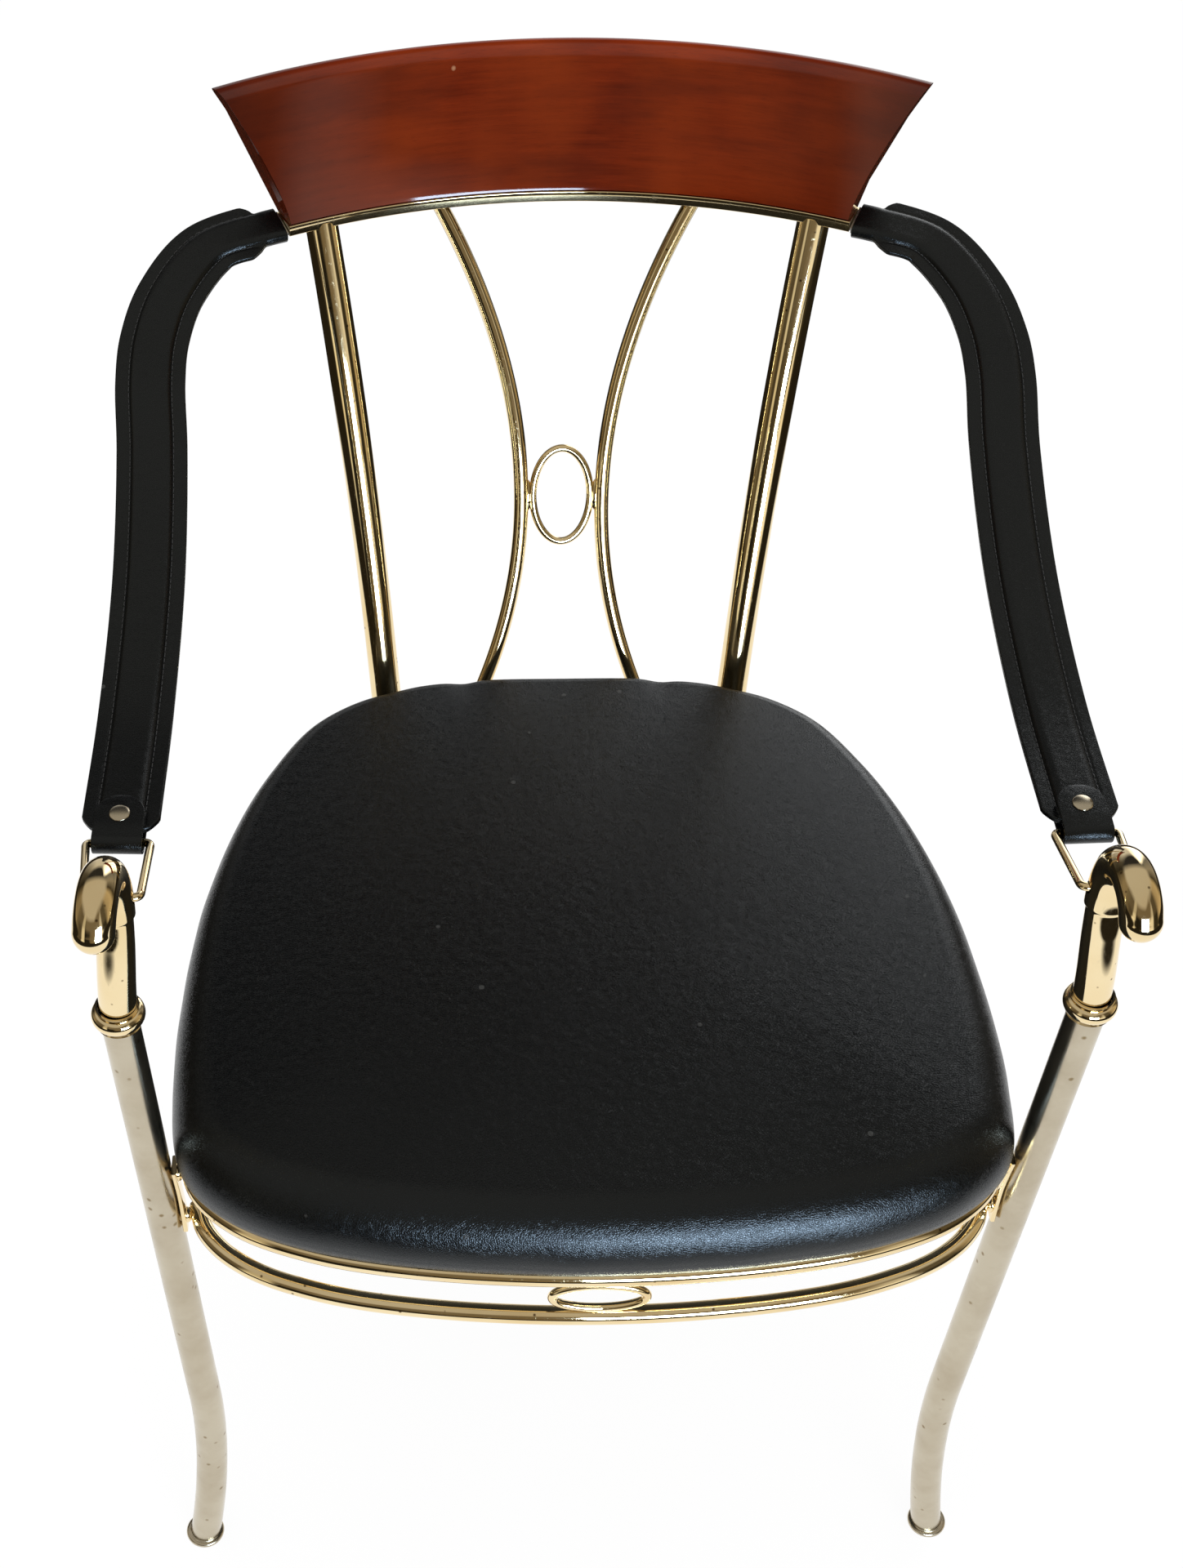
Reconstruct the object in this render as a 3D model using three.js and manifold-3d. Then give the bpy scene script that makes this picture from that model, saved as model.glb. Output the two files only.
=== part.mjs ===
// Klismos armchair: polished brass tube frame, curved mahogany crest, padded seat
// and two strap arms that hang on wire rings from hooked finials.
// Millimetres, +Z up, +X to the sitter's left seen from the front, back of the chair towards +Y.
import * as THREE from 'three';
import { mergeVertices } from 'three/addons/utils/BufferGeometryUtils.js';
import Module from 'manifold-3d';

const wasm = await Module();
wasm.setup();

// Clearances
const touchGap = 0.3;
const overrun = 30;
const mergeTolerance = 0.0003;

// Tubes, rods and wires (radii)
const legRadius = 11;
const hoopRadius = 6;
const rodRadius = 5.25;
const ovalWire = 2.75;
const ringWire = 2.5;

// Front legs
const legKneeHeight = 181;
const legKneeHalf = 256.8;
const legTopHeight = 584;
const legTopHalf = 276;
const footFlare = 21.5;
const footForward = 6;
const footBendPower = 1.8;

// Rear legs and back posts
const postSeatHalf = 126;
const postTopHalf = 166;
const postInwardBow = 3.4;
const postTopHeight = 783.7;
const postRake = 118;
const rearFootHalf = 150;
const rearFootSweep = 94;
const rearSweepDrop = 34;
const rearSweepPower = 1.9;
const rearSplayPower = 1.6;
const rearLeadShare = 0.6;

// Foot glides
const glideRadius = 14;
const glideHeight = 4;
const glideEdge = 1;

// Seat hoop and front rail
const hoopHeight = 434;
const railDrop = 43;
const railHeight = hoopHeight - railDrop;
const rearSweepHeight = hoopHeight - rearSweepDrop;
const bracketThickness = 3;
const bracketWidth = 15;
const bracketWaist = 9;
const bracketOverlap = 8;

// Seat plan, half of it, from the front centre round to the back centre
const seatLegRoom = 9.8536;
const seatHalfWidth = legHalfAt(hoopHeight) - seatLegRoom;
const seatFront = -88;
const seatBack = 411;
const seatPlanShares = [
  [0, 0], [0.42, 0.014], [0.675, 0.041], [0.857, 0.083], [0.965, 0.143], [0.998, 0.245],
  [0.998, 0.385], [0.968, 0.55], [0.9, 0.7], [0.815, 0.81], [0.7, 0.905], [0.51, 0.97],
  [0.27, 0.996], [0, 1],
];

// Seat pad
const coverThickness = 2;
const padBottomRise = 0.3;
const padSideHeight = 45;
const padCrown = 12;
const padCrownPower = 2.2;
const padRimInset = 12;
const padFoldWidth = 20;
const padRimShares = [
  [0, 0.5], [0.1, 0.18], [0.33, 0], [0.66, 0.03], [0.86, 0.35], [1, 1],
];
const padCrownShares = [0.86, 0.66, 0.4, 0.16];
const boardThickness = 10;
const boardInset = 9;

// Seat fixing
const lugLength = 30;
const lugWidth = 16;
const lugThickness = 3;
const lugCurveRoom = 0.65;
const lugPlaceShares = [0.2, 0.39, 0.61, 0.8];
const screwRadius = 2;
const screwHeadRadius = 4.2;
const screwHeadHeight = 2.4;
const screwCrownShare = 0.7;
const screwBite = 8;
const screwTipRoom = 1;
const holeClearance = 0.4;

// Splat rods and the two ovals
const splatWaistHalf = 28.8;
const splatWaistHeight = 588;
const splatFootHalf = 71;
const splatTopHalf = 87;
const backOvalHalfHeight = 34;
const backOvalRise = 5;
const backOvalHeight = splatWaistHeight + backOvalRise;
const frontOvalHalfWidth = 28.5;

// Crest and the brass band under it
const bandHeight = 7.5;
const bandDepth = 22;
const bandHalf = 186;
const crestPlanRadius = 415;
const crestHeight = 87;
const crestLean = 35;
const crestFlare = 41;
const crestFlarePower = 1.3;
const crestLeanCurveShare = 0.2;
const crestTopDepth = 17;
const crestScrewSpacing = 110;
const crestScrewBite = 12;
const crestSectionShares = [
  [0, 0], [0, 0.16], [0, 0.34], [0, 0.54], [0, 0.74], [0, 0.93], [0.14, 0.985], [0.5, 1],
  [0.86, 0.985], [1, 0.93], [1, 0.6], [1, 0.3], [1, 0],
];

// Collars and finials
const collarRadius = 15.5;
const collarHeight = 15;
const collarLip = 1.2;
const collarBead = 1.8;
const collarEase = 0.2;
const collarCrownShare = 0.24;
const collarBeadShare = 0.72;
const stemRadius = 11.2;
const hookRadius = 11.6;
const knuckleRadius = 12;
const knuckleSpan = 13;
const stemLean = 10;
const stemInset = 4;
const knuckleRise = 84;
const hookArch = 20;
const hookArchRise = 92;
const hookTurnShare = 0.9;
const hookOutset = 0.5;
const hookOutsetPower = 1.3;
const finialStemShares = [
  [0, 0, 0], [0.35, 0.12, 0.28], [0.85, 0.55, 0.65], [1, 1, 1],
];
const hookDomeSteps = 4;
const hookDomeAngle = 1.35;
const eyeClearance = 0.9;

// Wire rings
const ringTopHalf = 18.5;
const ringFootHalf = 15.4;
const ringCornerRadius = 4;
const ringReach = 59;
const ringDrop = 16.5;

// Arms
const armHalfWidth = 22.5;
const armRaisedHalf = 13;
const armRaise = 4.6;
const flangeThickness = 1.8;
const coreHalfWidth = 9.5;
const coreHalfThickness = 2.4;
const armRaisedShares = [[0.82, 0.86], [0.55, 1]];
const armFrontSetback = 8;
const armFrontRise = 1;
const armFrontOutset = 3.2;
const flangeCornerLength = 9;
const flangeCornerPower = 0.6;
const armNeckLength = 15;
const armNeckLeadShare = 1;
const armBankDegrees = 20;
const armBankStartShare = 0.62;
const armPathShares = [
  [1, 0, 0], [0.989, 0.21, 0.075], [0.981, 0.43, 0.262], [0.988, 0.63, 0.5], [0.998, 0.735, 0.657],
  [0.992, 0.807, 0.748], [0.956, 0.884, 0.85], [0.868, 0.96, 0.953],
];

// Front tabs and rivets
const tabThickness = 1.8;
const tabHalfWidth = 14.5;
const tabSlack = 2.1;
const tabTail = 22;
const rivetHeadRadius = 6;
const rivetHeadHeight = 1.6;
const rivetShankRadius = 2;
const rivetSetback = 8;

// Facets
const tubeSides = 10;
const rodSides = 8;
const wireSides = 6;
const roundSides = 16;
const screwSides = 8;
const boreSides = 10;
const finialSides = 10;
const legSteps = 16;
const postSteps = 24;
const hoopSteps = 52;
const railSteps = 28;
const rodSteps = 18;
const ovalSteps = 24;
const ringSteps = 28;
const bandSteps = 18;
const crestSteps = 18;
const finialSteps = 20;
const armSteps = 30;
const armStepPower = 1.25;
const seatSteps = 36;
const curveSteps = 6;

// Finishes
const brass = new THREE.MeshStandardMaterial({ color: 0xd8b872, roughness: 0.16, metalness: 1 });
const satinBrass = new THREE.MeshStandardMaterial({ color: 0xc9bb94, roughness: 0.34, metalness: 1 });
const mahogany = new THREE.MeshStandardMaterial({ color: 0x6e2a18, roughness: 0.14, metalness: 0 });
const leather = new THREE.MeshStandardMaterial({ color: 0x14161a, roughness: 0.42, metalness: 0 });
const steel = new THREE.MeshStandardMaterial({ color: 0x6b6f73, roughness: 0.45, metalness: 1 });
const plywood = new THREE.MeshStandardMaterial({ color: 0xb89a6a, roughness: 0.75, metalness: 0 });
const foam = new THREE.MeshStandardMaterial({ color: 0xd9cfae, roughness: 0.95, metalness: 0 });

const chair = new THREE.Group();
const sides = [['left', -1], ['right', 1]];

function addPiece(name, geometry, material) {
  const mesh = new THREE.Mesh(geometry, material.clone());
  mesh.name = name;
  chair.add(mesh);
  return mesh;
}

// Shape helpers

function signedVolume(geometry) {
  const p = geometry.getAttribute('position');
  const index = geometry.getIndex();
  const a = new THREE.Vector3();
  const b = new THREE.Vector3();
  const c = new THREE.Vector3();
  let volume = 0;
  for (let i = 0; i < index.count; i += 3) {
    a.fromBufferAttribute(p, index.getX(i));
    b.fromBufferAttribute(p, index.getX(i + 1));
    c.fromBufferAttribute(p, index.getX(i + 2));
    volume += a.dot(b.cross(c));
  }
  return volume;
}

// Keeps only places, joins equal corners and turns the faces outwards
function tidy(geometry) {
  const bare = geometry.clone();
  for (const name of Object.keys(bare.attributes)) {
    if (name !== 'position') bare.deleteAttribute(name);
  }
  bare.clearGroups();
  const merged = mergeVertices(bare, mergeTolerance);
  if (signedVolume(merged) < 0) {
    const flipped = Array.from(merged.getIndex().array);
    for (let i = 0; i < flipped.length; i += 3) {
      [flipped[i + 1], flipped[i + 2]] = [flipped[i + 2], flipped[i + 1]];
    }
    merged.setIndex(flipped);
  }
  return merged;
}

function toSolid(geometry) {
  const merged = tidy(geometry);
  return new wasm.Manifold(new wasm.Mesh({
    numProp: 3,
    vertProperties: new Float32Array(merged.getAttribute('position').array),
    triVerts: new Uint32Array(merged.getIndex().array),
  }));
}

function fromSolid(solid) {
  const mesh = solid.getMesh();
  const geometry = new THREE.BufferGeometry();
  geometry.setAttribute('position', new THREE.BufferAttribute(new Float32Array(mesh.vertProperties), 3));
  geometry.setIndex(new THREE.BufferAttribute(new Uint32Array(mesh.triVerts), 1));
  return geometry;
}

function cut(geometry, ...tools) {
  let solid = toSolid(geometry);
  for (const tool of tools) {
    solid = solid.subtract(toSolid(tool));
  }
  return fromSolid(solid);
}

// Keeps what lies between two heights
function keepBetween(geometry, low, high) {
  geometry.computeBoundingBox();
  const box = geometry.boundingBox;
  const size = box.getSize(new THREE.Vector3());
  const middle = box.getCenter(new THREE.Vector3());
  const slab = new THREE.BoxGeometry(size.x + overrun, size.y + overrun, high - low);
  slab.translate(middle.x, middle.y, (low + high) / 2);
  return fromSolid(toSolid(geometry).intersect(toSolid(slab)));
}

function circleShape(radius, count) {
  const points = [];
  for (let i = 0; i < count; i += 1) {
    const angle = (i / count) * Math.PI * 2;
    points.push(new THREE.Vector2(radius * Math.cos(angle), radius * Math.sin(angle)));
  }
  return new THREE.Shape(points);
}

function tube(curve, radius, steps, count) {
  return tidy(new THREE.ExtrudeGeometry(circleShape(radius, count), {
    steps,
    extrudePath: curve,
    bevelEnabled: false,
  }));
}

// Closed skin over rings of points; flat outline gives the triangles of both ends
function loft(rings, outline) {
  const count = rings[0].length;
  const points = rings.flat();
  const faces = [];
  for (let r = 0; r < rings.length - 1; r += 1) {
    for (let i = 0; i < count; i += 1) {
      const next = (i + 1) % count;
      const a = r * count + i;
      const b = r * count + next;
      faces.push(a, b, b + count, a, b + count, a + count);
    }
  }
  const last = (rings.length - 1) * count;
  for (const [a, b, c] of THREE.ShapeUtils.triangulateShape(outline, [])) {
    faces.push(a, c, b, last + a, last + b, last + c);
  }
  const geometry = new THREE.BufferGeometry().setFromPoints(points);
  geometry.setIndex(faces);
  return tidy(orientCaps(geometry));
}

// Ends of a skin can come out turned against its sides; a solid with matching edges mends that
function orientCaps(geometry) {
  const index = Array.from(geometry.getIndex().array);
  const seen = new Set();
  for (let i = 0; i < index.length; i += 3) {
    const [a, b, c] = [index[i], index[i + 1], index[i + 2]];
    const clash = [[a, b], [b, c], [c, a]].some(([p, q]) => seen.has(`${p},${q}`));
    const order = clash ? [a, c, b] : [a, b, c];
    [index[i], index[i + 1], index[i + 2]] = order;
    for (let k = 0; k < 3; k += 1) {
      seen.add(`${order[k]},${order[(k + 1) % 3]}`);
    }
  }
  geometry.setIndex(index);
  return geometry;
}

function lathe(profile, count) {
  const points = profile.map(([r, z]) => new THREE.Vector2(r, z));
  const geometry = new THREE.LatheGeometry([...points, points[0]], count);
  geometry.rotateX(Math.PI / 2);
  return tidy(geometry);
}

function cylinder(radius, length, count) {
  const geometry = new THREE.CylinderGeometry(radius, radius, length, count);
  geometry.rotateX(Math.PI / 2);
  return tidy(geometry);
}

function screw(headRadius, headHeight, shankRadius, shankLength) {
  return lathe([
    [0, -headHeight], [headRadius * screwCrownShare, -headHeight],
    [headRadius, -headHeight / 2], [headRadius, 0],
    [shankRadius, 0], [shankRadius, shankLength], [0, shankLength],
  ], screwSides);
}

// Front legs: straight from the collar to the knee, then curving out and forward to the foot
function legHalfAt(z) {
  return legKneeHalf + (legTopHalf - legKneeHalf) * (z - legKneeHeight) / (legTopHeight - legKneeHeight);
}

function frontLegPath(side) {
  const points = [];
  const steps = 14;
  for (let i = 0; i <= steps; i += 1) {
    const z = legTopHeight + glideHeight - (legTopHeight + glideHeight * 2) * (i / steps);
    const bend = Math.max(0, (legKneeHeight - z) / legKneeHeight) ** footBendPower;
    points.push(new THREE.Vector3(side * (legHalfAt(z) + footFlare * bend), -footForward * bend, z));
  }
  return new THREE.CatmullRomCurve3(points);
}

function frontFoot(side) {
  return new THREE.Vector3(side * (legHalfAt(0) + footFlare), -footForward, 0);
}

// Seat plan and the loops that follow it
function seatPlan(inset, count = seatSteps) {
  const depth = seatBack - seatFront;
  const half = seatPlanShares.map(([x, y]) => [x * seatHalfWidth, seatFront + y * depth]);
  const mirrored = half.slice(1, -1).reverse().map(([x, y]) => [-x, y]);
  const curve = new THREE.CatmullRomCurve3(
    [...half, ...mirrored].map(([x, y]) => new THREE.Vector3(x, y, 0)), true, 'centripetal');
  const points = [];
  for (let i = 0; i < count; i += 1) {
    const share = i / count;
    const along = curve.getTangentAt(share);
    const point = curve.getPointAt(share);
    points.push(new THREE.Vector2(point.x - along.y * inset, point.y + along.x * inset));
  }
  return points;
}

function halfWidthAt(plan, y) {
  for (let i = 1; i < plan.length / 2; i += 1) {
    const [a, b] = [plan[i - 1], plan[i]];
    if (a.y <= y && b.y > y) return a.x + (b.x - a.x) * (y - a.y) / (b.y - a.y);
  }
  return plan[0].x;
}

// Where a post or rod that leans back touches the outside of the hoop behind the seat
function touchY(x, radius, rise, setback) {
  const tilt = Math.atan(setback / rise);
  const distance = (hoopRadius + touchGap + radius) / Math.cos(tilt);
  const near = seatPlan(hoopInset, seatSteps * 10).filter((p) => Math.abs(p.x - x) < distance && p.y > 0);
  return Math.max(...near.map((p) => p.y + Math.sqrt(distance ** 2 - (p.x - x) ** 2)));
}

// The hoop and the rail stop one bracket short of the legs
const legTilt = Math.atan((legTopHalf - legKneeHalf) / (legTopHeight - legKneeHeight));
const legRoom = (legRadius + bracketThickness + hoopRadius) / Math.cos(legTilt) + touchGap * 3;
const seatHalfAtLegs = halfWidthAt(seatPlan(0, seatSteps * 10), bracketWidth / 2);
const hoopInset = seatHalfAtLegs - (legHalfAt(hoopHeight) - legRoom);
const railInset = seatHalfAtLegs - (legHalfAt(railHeight) - legRoom);
const hoopPlan = seatPlan(hoopInset);
const postSeatY = touchY(postSeatHalf, legRadius, postTopHeight - hoopHeight, postRake);
const postTopY = postSeatY + postRake;

const postSlope = postRake / (postTopHeight - hoopHeight);
const rearSweepLead = rearSweepDrop * postSlope * rearLeadShare;

// Back posts: one tube from the band down past the seat and back to the rear foot
function rearLegPath(side) {
  const points = [];
  const steps = 9;
  for (let i = 0; i <= steps; i += 1) {
    const share = 1 - i / steps;
    const z = hoopHeight + (postTopHeight + glideHeight - hoopHeight) * share;
    const bow = postInwardBow * 4 * share * (1 - share);
    const half = postSeatHalf + (postTopHalf - postSeatHalf) * share - bow;
    points.push(new THREE.Vector3(side * half, postSeatY + postRake * share, z));
  }
  const low = 6;
  const kneeY = postSeatY - rearSweepLead;
  for (let i = 0; i <= low; i += 1) {
    const share = i / low;
    const z = rearSweepHeight * (1 - share) - glideHeight * share;
    const half = postSeatHalf + (rearFootHalf - postSeatHalf) * share ** rearSplayPower;
    points.push(new THREE.Vector3(side * half, kneeY + rearFootSweep * share ** rearSweepPower, z));
  }
  return new THREE.CatmullRomCurve3(points);
}

function rearFoot(side) {
  return new THREE.Vector3(side * rearFootHalf, postSeatY - rearSweepLead + rearFootSweep, 0);
}

const glideProfile = [
  [0, 0], [glideRadius - glideEdge, 0], [glideRadius, glideEdge], [glideRadius, glideHeight - glideEdge],
  [glideRadius - glideEdge, glideHeight], [0, glideHeight],
];

for (const [name, side] of sides) {
  const front = tube(frontLegPath(side), legRadius, legSteps, tubeSides);
  const frontLeg = keepBetween(front, glideHeight + touchGap, legTopHeight - touchGap / 2);
  addPiece(`${name}_front_leg`, frontLeg, satinBrass);
  const rear = tube(rearLegPath(side), legRadius, postSteps, tubeSides);
  addPiece(`${name}_rear_leg`, keepBetween(rear, glideHeight + touchGap, postTopHeight), brass);
  for (const [end, foot] of [['front', frontFoot(side)], ['rear', rearFoot(side)]]) {
    const glide = addPiece(`${name}_${end}_glide`, lathe(glideProfile, roundSides), satinBrass);
    glide.position.copy(foot);
  }
}

// Seat hoop, front rail and the curved brackets that join them to the legs
function loopFrom(plan, z, radius, count) {
  const curve = new THREE.CatmullRomCurve3(plan.map((p) => new THREE.Vector3(p.x, p.y, z)), true);
  return tidy(new THREE.TubeGeometry(curve, hoopSteps, radius, count, true));
}
addPiece('seat_hoop', loopFrom(hoopPlan, hoopHeight, hoopRadius, rodSides), brass);

const railPlan = seatPlan(railInset);
const railHalf = railPlan.filter((p, i) => i < railPlan.length / 2 && p.y < bracketWidth / 2);
const railLeft = railHalf.slice(1).reverse().map((p) => [-p.x, p.y]);
const railPoints = [...railLeft, ...railHalf.map((p) => [p.x, p.y])];
const railEndHalf = legHalfAt(railHeight) - legRoom;
const railRoute = [[-railEndHalf, bracketWidth / 2], ...railPoints, [railEndHalf, bracketWidth / 2]];
const railCurve = new THREE.CatmullRomCurve3(
  railRoute.map(([x, y]) => new THREE.Vector3(x, y, railHeight)), false, 'centripetal');
addPiece('front_rail', tube(railCurve, hoopRadius, railSteps, rodSides), brass);

function bracketShape() {
  const high = (hoopHeight - railHeight) / 2 + bracketOverlap;
  const shape = new THREE.Shape();
  shape.moveTo(-bracketWidth / 2, -high);
  shape.lineTo(bracketWidth / 2, -high);
  shape.quadraticCurveTo(bracketWaist / 2, -high / 2, bracketWaist / 2, 0);
  shape.quadraticCurveTo(bracketWaist / 2, high / 2, bracketWidth / 2, high);
  shape.lineTo(-bracketWidth / 2, high);
  shape.quadraticCurveTo(-bracketWaist / 2, high / 2, -bracketWaist / 2, 0);
  shape.quadraticCurveTo(-bracketWaist / 2, -high / 2, -bracketWidth / 2, -high);
  return shape;
}
for (const [name, side] of sides) {
  const plate = new THREE.ExtrudeGeometry(bracketShape(), {
    depth: bracketThickness, bevelEnabled: false, curveSegments: curveSteps,
  });
  plate.rotateX(Math.PI / 2);
  plate.rotateZ(Math.PI / 2);
  plate.translate(-bracketThickness / 2, 0, 0);
  plate.rotateY(legTilt * side);
  const middle = (hoopHeight + railHeight) / 2;
  const bracket = addPiece(`${name}_leg_bracket`, tidy(plate), brass);
  const reach = legRadius / Math.cos(legTilt) + touchGap + bracketThickness / 2;
  bracket.position.set(side * (legHalfAt(middle) - reach), 0, middle);
}

// Splat: two rods bent like brackets back to back, with an oval between them
const bandFrontY = postTopY - bandDepth / 2 + crestPlanRadius
  - Math.sqrt(crestPlanRadius ** 2 - postTopHalf ** 2);
const bandArcY = (x) => bandFrontY - crestPlanRadius + Math.sqrt(crestPlanRadius ** 2 - x ** 2);
const rodFootHeight = hoopHeight - hoopRadius;

function splatHalfAt(z) {
  if (z < splatWaistHeight) {
    const share = (splatWaistHeight - z) / (splatWaistHeight - rodFootHeight);
    return splatWaistHalf + (splatFootHalf - splatWaistHalf) * share ** 2;
  }
  const share = (z - splatWaistHeight) / (postTopHeight - splatWaistHeight);
  return splatWaistHalf + (splatTopHalf - splatWaistHalf) * share ** 2;
}

const splatTopY = bandArcY(splatTopHalf) + bandDepth / 2;
const splatFootY = touchY(splatFootHalf, rodRadius, postTopHeight - hoopHeight, postRake);

function splatYAt(z) {
  const low = splatFootY;
  const high = splatTopY;
  return low + (high - low) * (z - rodFootHeight) / (postTopHeight - rodFootHeight);
}

for (const [name, side] of sides) {
  const points = [];
  const steps = 14;
  for (let i = 0; i <= steps; i += 1) {
    const z = rodFootHeight - rodRadius + (postTopHeight + rodRadius * 2 - rodFootHeight) * (i / steps);
    points.push(new THREE.Vector3(side * splatHalfAt(z), splatYAt(z), z));
  }
  const rod = tube(new THREE.CatmullRomCurve3(points), rodRadius, rodSteps, rodSides);
  addPiece(`${name}_splat_rod`, keepBetween(rod, rodFootHeight, postTopHeight), brass);
}

// Ellipse of wire standing in a plane that leans back by an angle
function oval(halfWidth, halfHeight, wire) {
  const points = [];
  for (let i = 0; i < ovalSteps; i += 1) {
    const angle = (i / ovalSteps) * Math.PI * 2;
    points.push(new THREE.Vector3(halfWidth * Math.cos(angle), 0, halfHeight * Math.sin(angle)));
  }
  const curve = new THREE.CatmullRomCurve3(points, true);
  return tidy(new THREE.TubeGeometry(curve, ovalSteps, wire, wireSides, true));
}
const backOvalHalfWidth = splatWaistHalf - rodRadius - touchGap - ovalWire;
const backOval = addPiece('back_oval', oval(backOvalHalfWidth, backOvalHalfHeight, ovalWire), brass);
backOval.position.set(0, splatYAt(backOvalHeight), backOvalHeight);
const splatLean = splatYAt(postTopHeight) - splatYAt(rodFootHeight);
backOval.rotation.x = -Math.atan(splatLean / (postTopHeight - rodFootHeight));

const railFrontY = seatFront + railInset;
const hoopFrontY = seatFront + hoopInset;
const railSpan = Math.hypot(hoopHeight - railHeight, railFrontY - hoopFrontY);
const frontOvalHalfHeight = railSpan / 2 - hoopRadius - touchGap - ovalWire;
const frontOval = addPiece('front_oval', oval(frontOvalHalfWidth, frontOvalHalfHeight, ovalWire), brass);
frontOval.position.set(0, (railFrontY + hoopFrontY) / 2, (hoopHeight + railHeight) / 2);
frontOval.rotation.x = Math.atan((railFrontY - hoopFrontY) / (hoopHeight - railHeight));

// Band and crest: both follow one arc in plan, and the crest leans back and flares
const bandBottom = postTopHeight + touchGap;
const crestBottom = bandBottom + bandHeight + touchGap;

const crestScrewPlaces = [-crestScrewSpacing, 0, crestScrewSpacing];

function screwHoles(radius, low, high) {
  return crestScrewPlaces.map((x) => {
    const hole = cylinder(radius, high - low, boreSides);
    hole.translate(x, bandArcY(x) + bandDepth / 2, (low + high) / 2);
    return hole;
  });
}

function bandRing(z) {
  const front = [];
  const back = [];
  const reach = Math.asin(bandHalf / crestPlanRadius);
  for (let i = 0; i <= bandSteps; i += 1) {
    const angle = -reach + 2 * reach * (i / bandSteps);
    const at = (radius) => new THREE.Vector3(
      radius * Math.sin(angle), bandFrontY - crestPlanRadius + radius * Math.cos(angle), z);
    front.push(at(crestPlanRadius));
    back.unshift(at(crestPlanRadius + bandDepth));
  }
  return [...front, ...back];
}
const bandLow = bandRing(bandBottom);
const bandOutline = bandLow.map((p) => new THREE.Vector2(p.x, p.y));
const band = loft([bandLow, bandRing(bandBottom + bandHeight)], bandOutline);
const bandHoles = screwHoles(screwRadius + holeClearance, bandBottom - overrun, bandBottom + overrun);
addPiece('crest_band', cut(band, ...bandHoles), brass);

function crestPoint(along, deep, high) {
  const half = bandHalf + crestFlare * high ** crestFlarePower;
  const angle = along * Math.asin(half / crestPlanRadius);
  const depth = bandDepth + (crestTopDepth - bandDepth) * high;
  const radius = crestPlanRadius + depth * deep;
  const lean = crestLean * high * (1 - crestLeanCurveShare * (1 - high));
  return new THREE.Vector3(
    radius * Math.sin(angle),
    bandFrontY - crestPlanRadius + radius * Math.cos(angle) + lean,
    crestBottom + crestHeight * high);
}
const crestOutline = crestSectionShares.map(
  ([deep, high]) => new THREE.Vector2(deep * bandDepth, high * crestHeight));
const crestRings = [];
for (let i = 0; i <= crestSteps; i += 1) {
  const along = -1 + 2 * (i / crestSteps);
  crestRings.push(crestSectionShares.map(([deep, high]) => crestPoint(along, deep, high)));
}
const crestHoleTop = crestBottom + crestScrewBite + screwTipRoom;
const crestHoles = screwHoles(screwRadius + holeClearance, crestBottom - overrun, crestHoleTop);
addPiece('crest_rail', cut(loft(crestRings, crestOutline), ...crestHoles), mahogany);

crestScrewPlaces.forEach((x, i) => {
  const length = touchGap + bandHeight + touchGap + crestScrewBite;
  const turned = screw(screwHeadRadius, screwHeadHeight, screwRadius, length);
  const piece = addPiece(`crest_screw_${i + 1}`, turned, brass);
  piece.position.set(x, bandArcY(x) + bandDepth / 2, bandBottom - touchGap);
});

// Seat pad: leather cover pulled round foam and board, folded in under the board
const padBottom = hoopHeight + hoopRadius + padBottomRise;
const seatCentre = new THREE.Vector2(0, (seatFront + seatBack) / 2);

function padRings(inward, lowered) {
  const rings = [];
  for (const [share, insetShare] of padRimShares) {
    const z = Math.max(padBottom + padSideHeight * share - (share === 1 ? lowered : 0), padBottom + lowered);
    rings.push(seatPlan(padRimInset * insetShare + inward).map((p) => new THREE.Vector3(p.x, p.y, z)));
  }
  const rim = seatPlan(padRimInset + inward);
  for (const share of padCrownShares) {
    const z = padBottom + padSideHeight + padCrown * (1 - share ** padCrownPower) - lowered;
    rings.push(rim.map((p) => {
      const q = p.clone().sub(seatCentre).multiplyScalar(share).add(seatCentre);
      return new THREE.Vector3(q.x, q.y, z);
    }));
  }
  return rings;
}

function padSolid(inward, lowered) {
  const rings = padRings(inward, lowered);
  return loft(rings, rings[0].map((p) => new THREE.Vector2(p.x, p.y)));
}

function planPrism(inset, low, high) {
  const plan = seatPlan(inset);
  const at = (z) => plan.map((p) => new THREE.Vector3(p.x, p.y, z));
  return loft([at(low), at(high)], plan);
}
const foldOpening = planPrism(boardInset + padFoldWidth, padBottom - overrun, padBottom + coverThickness * 2);
addPiece('seat_cover', cut(padSolid(0, 0), padSolid(coverThickness, coverThickness), foldOpening), leather);

const boardBottom = padBottom + coverThickness + touchGap;
const lugAt = lugPlaceShares.map((share) => {
  const i = Math.round(share * seatSteps);
  const point = hoopPlan[i];
  const along = hoopPlan[(i + 1) % seatSteps].clone().sub(hoopPlan[i - 1]).normalize();
  const inward = new THREE.Vector2(-along.y, along.x);
  return { point, inward, angle: Math.atan2(inward.y, inward.x) };
});
const lugTop = hoopHeight + hoopRadius - touchGap;
const lugDrop = hoopRadius - touchGap - lugThickness;
const lugStart = Math.sqrt(hoopRadius ** 2 - lugDrop ** 2) + touchGap + lugCurveRoom;
const screwReach = lugStart + lugLength - lugWidth / 2;
const screwSpots = lugAt.map(({ point, inward }) => point.clone().addScaledVector(inward, screwReach));

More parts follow.
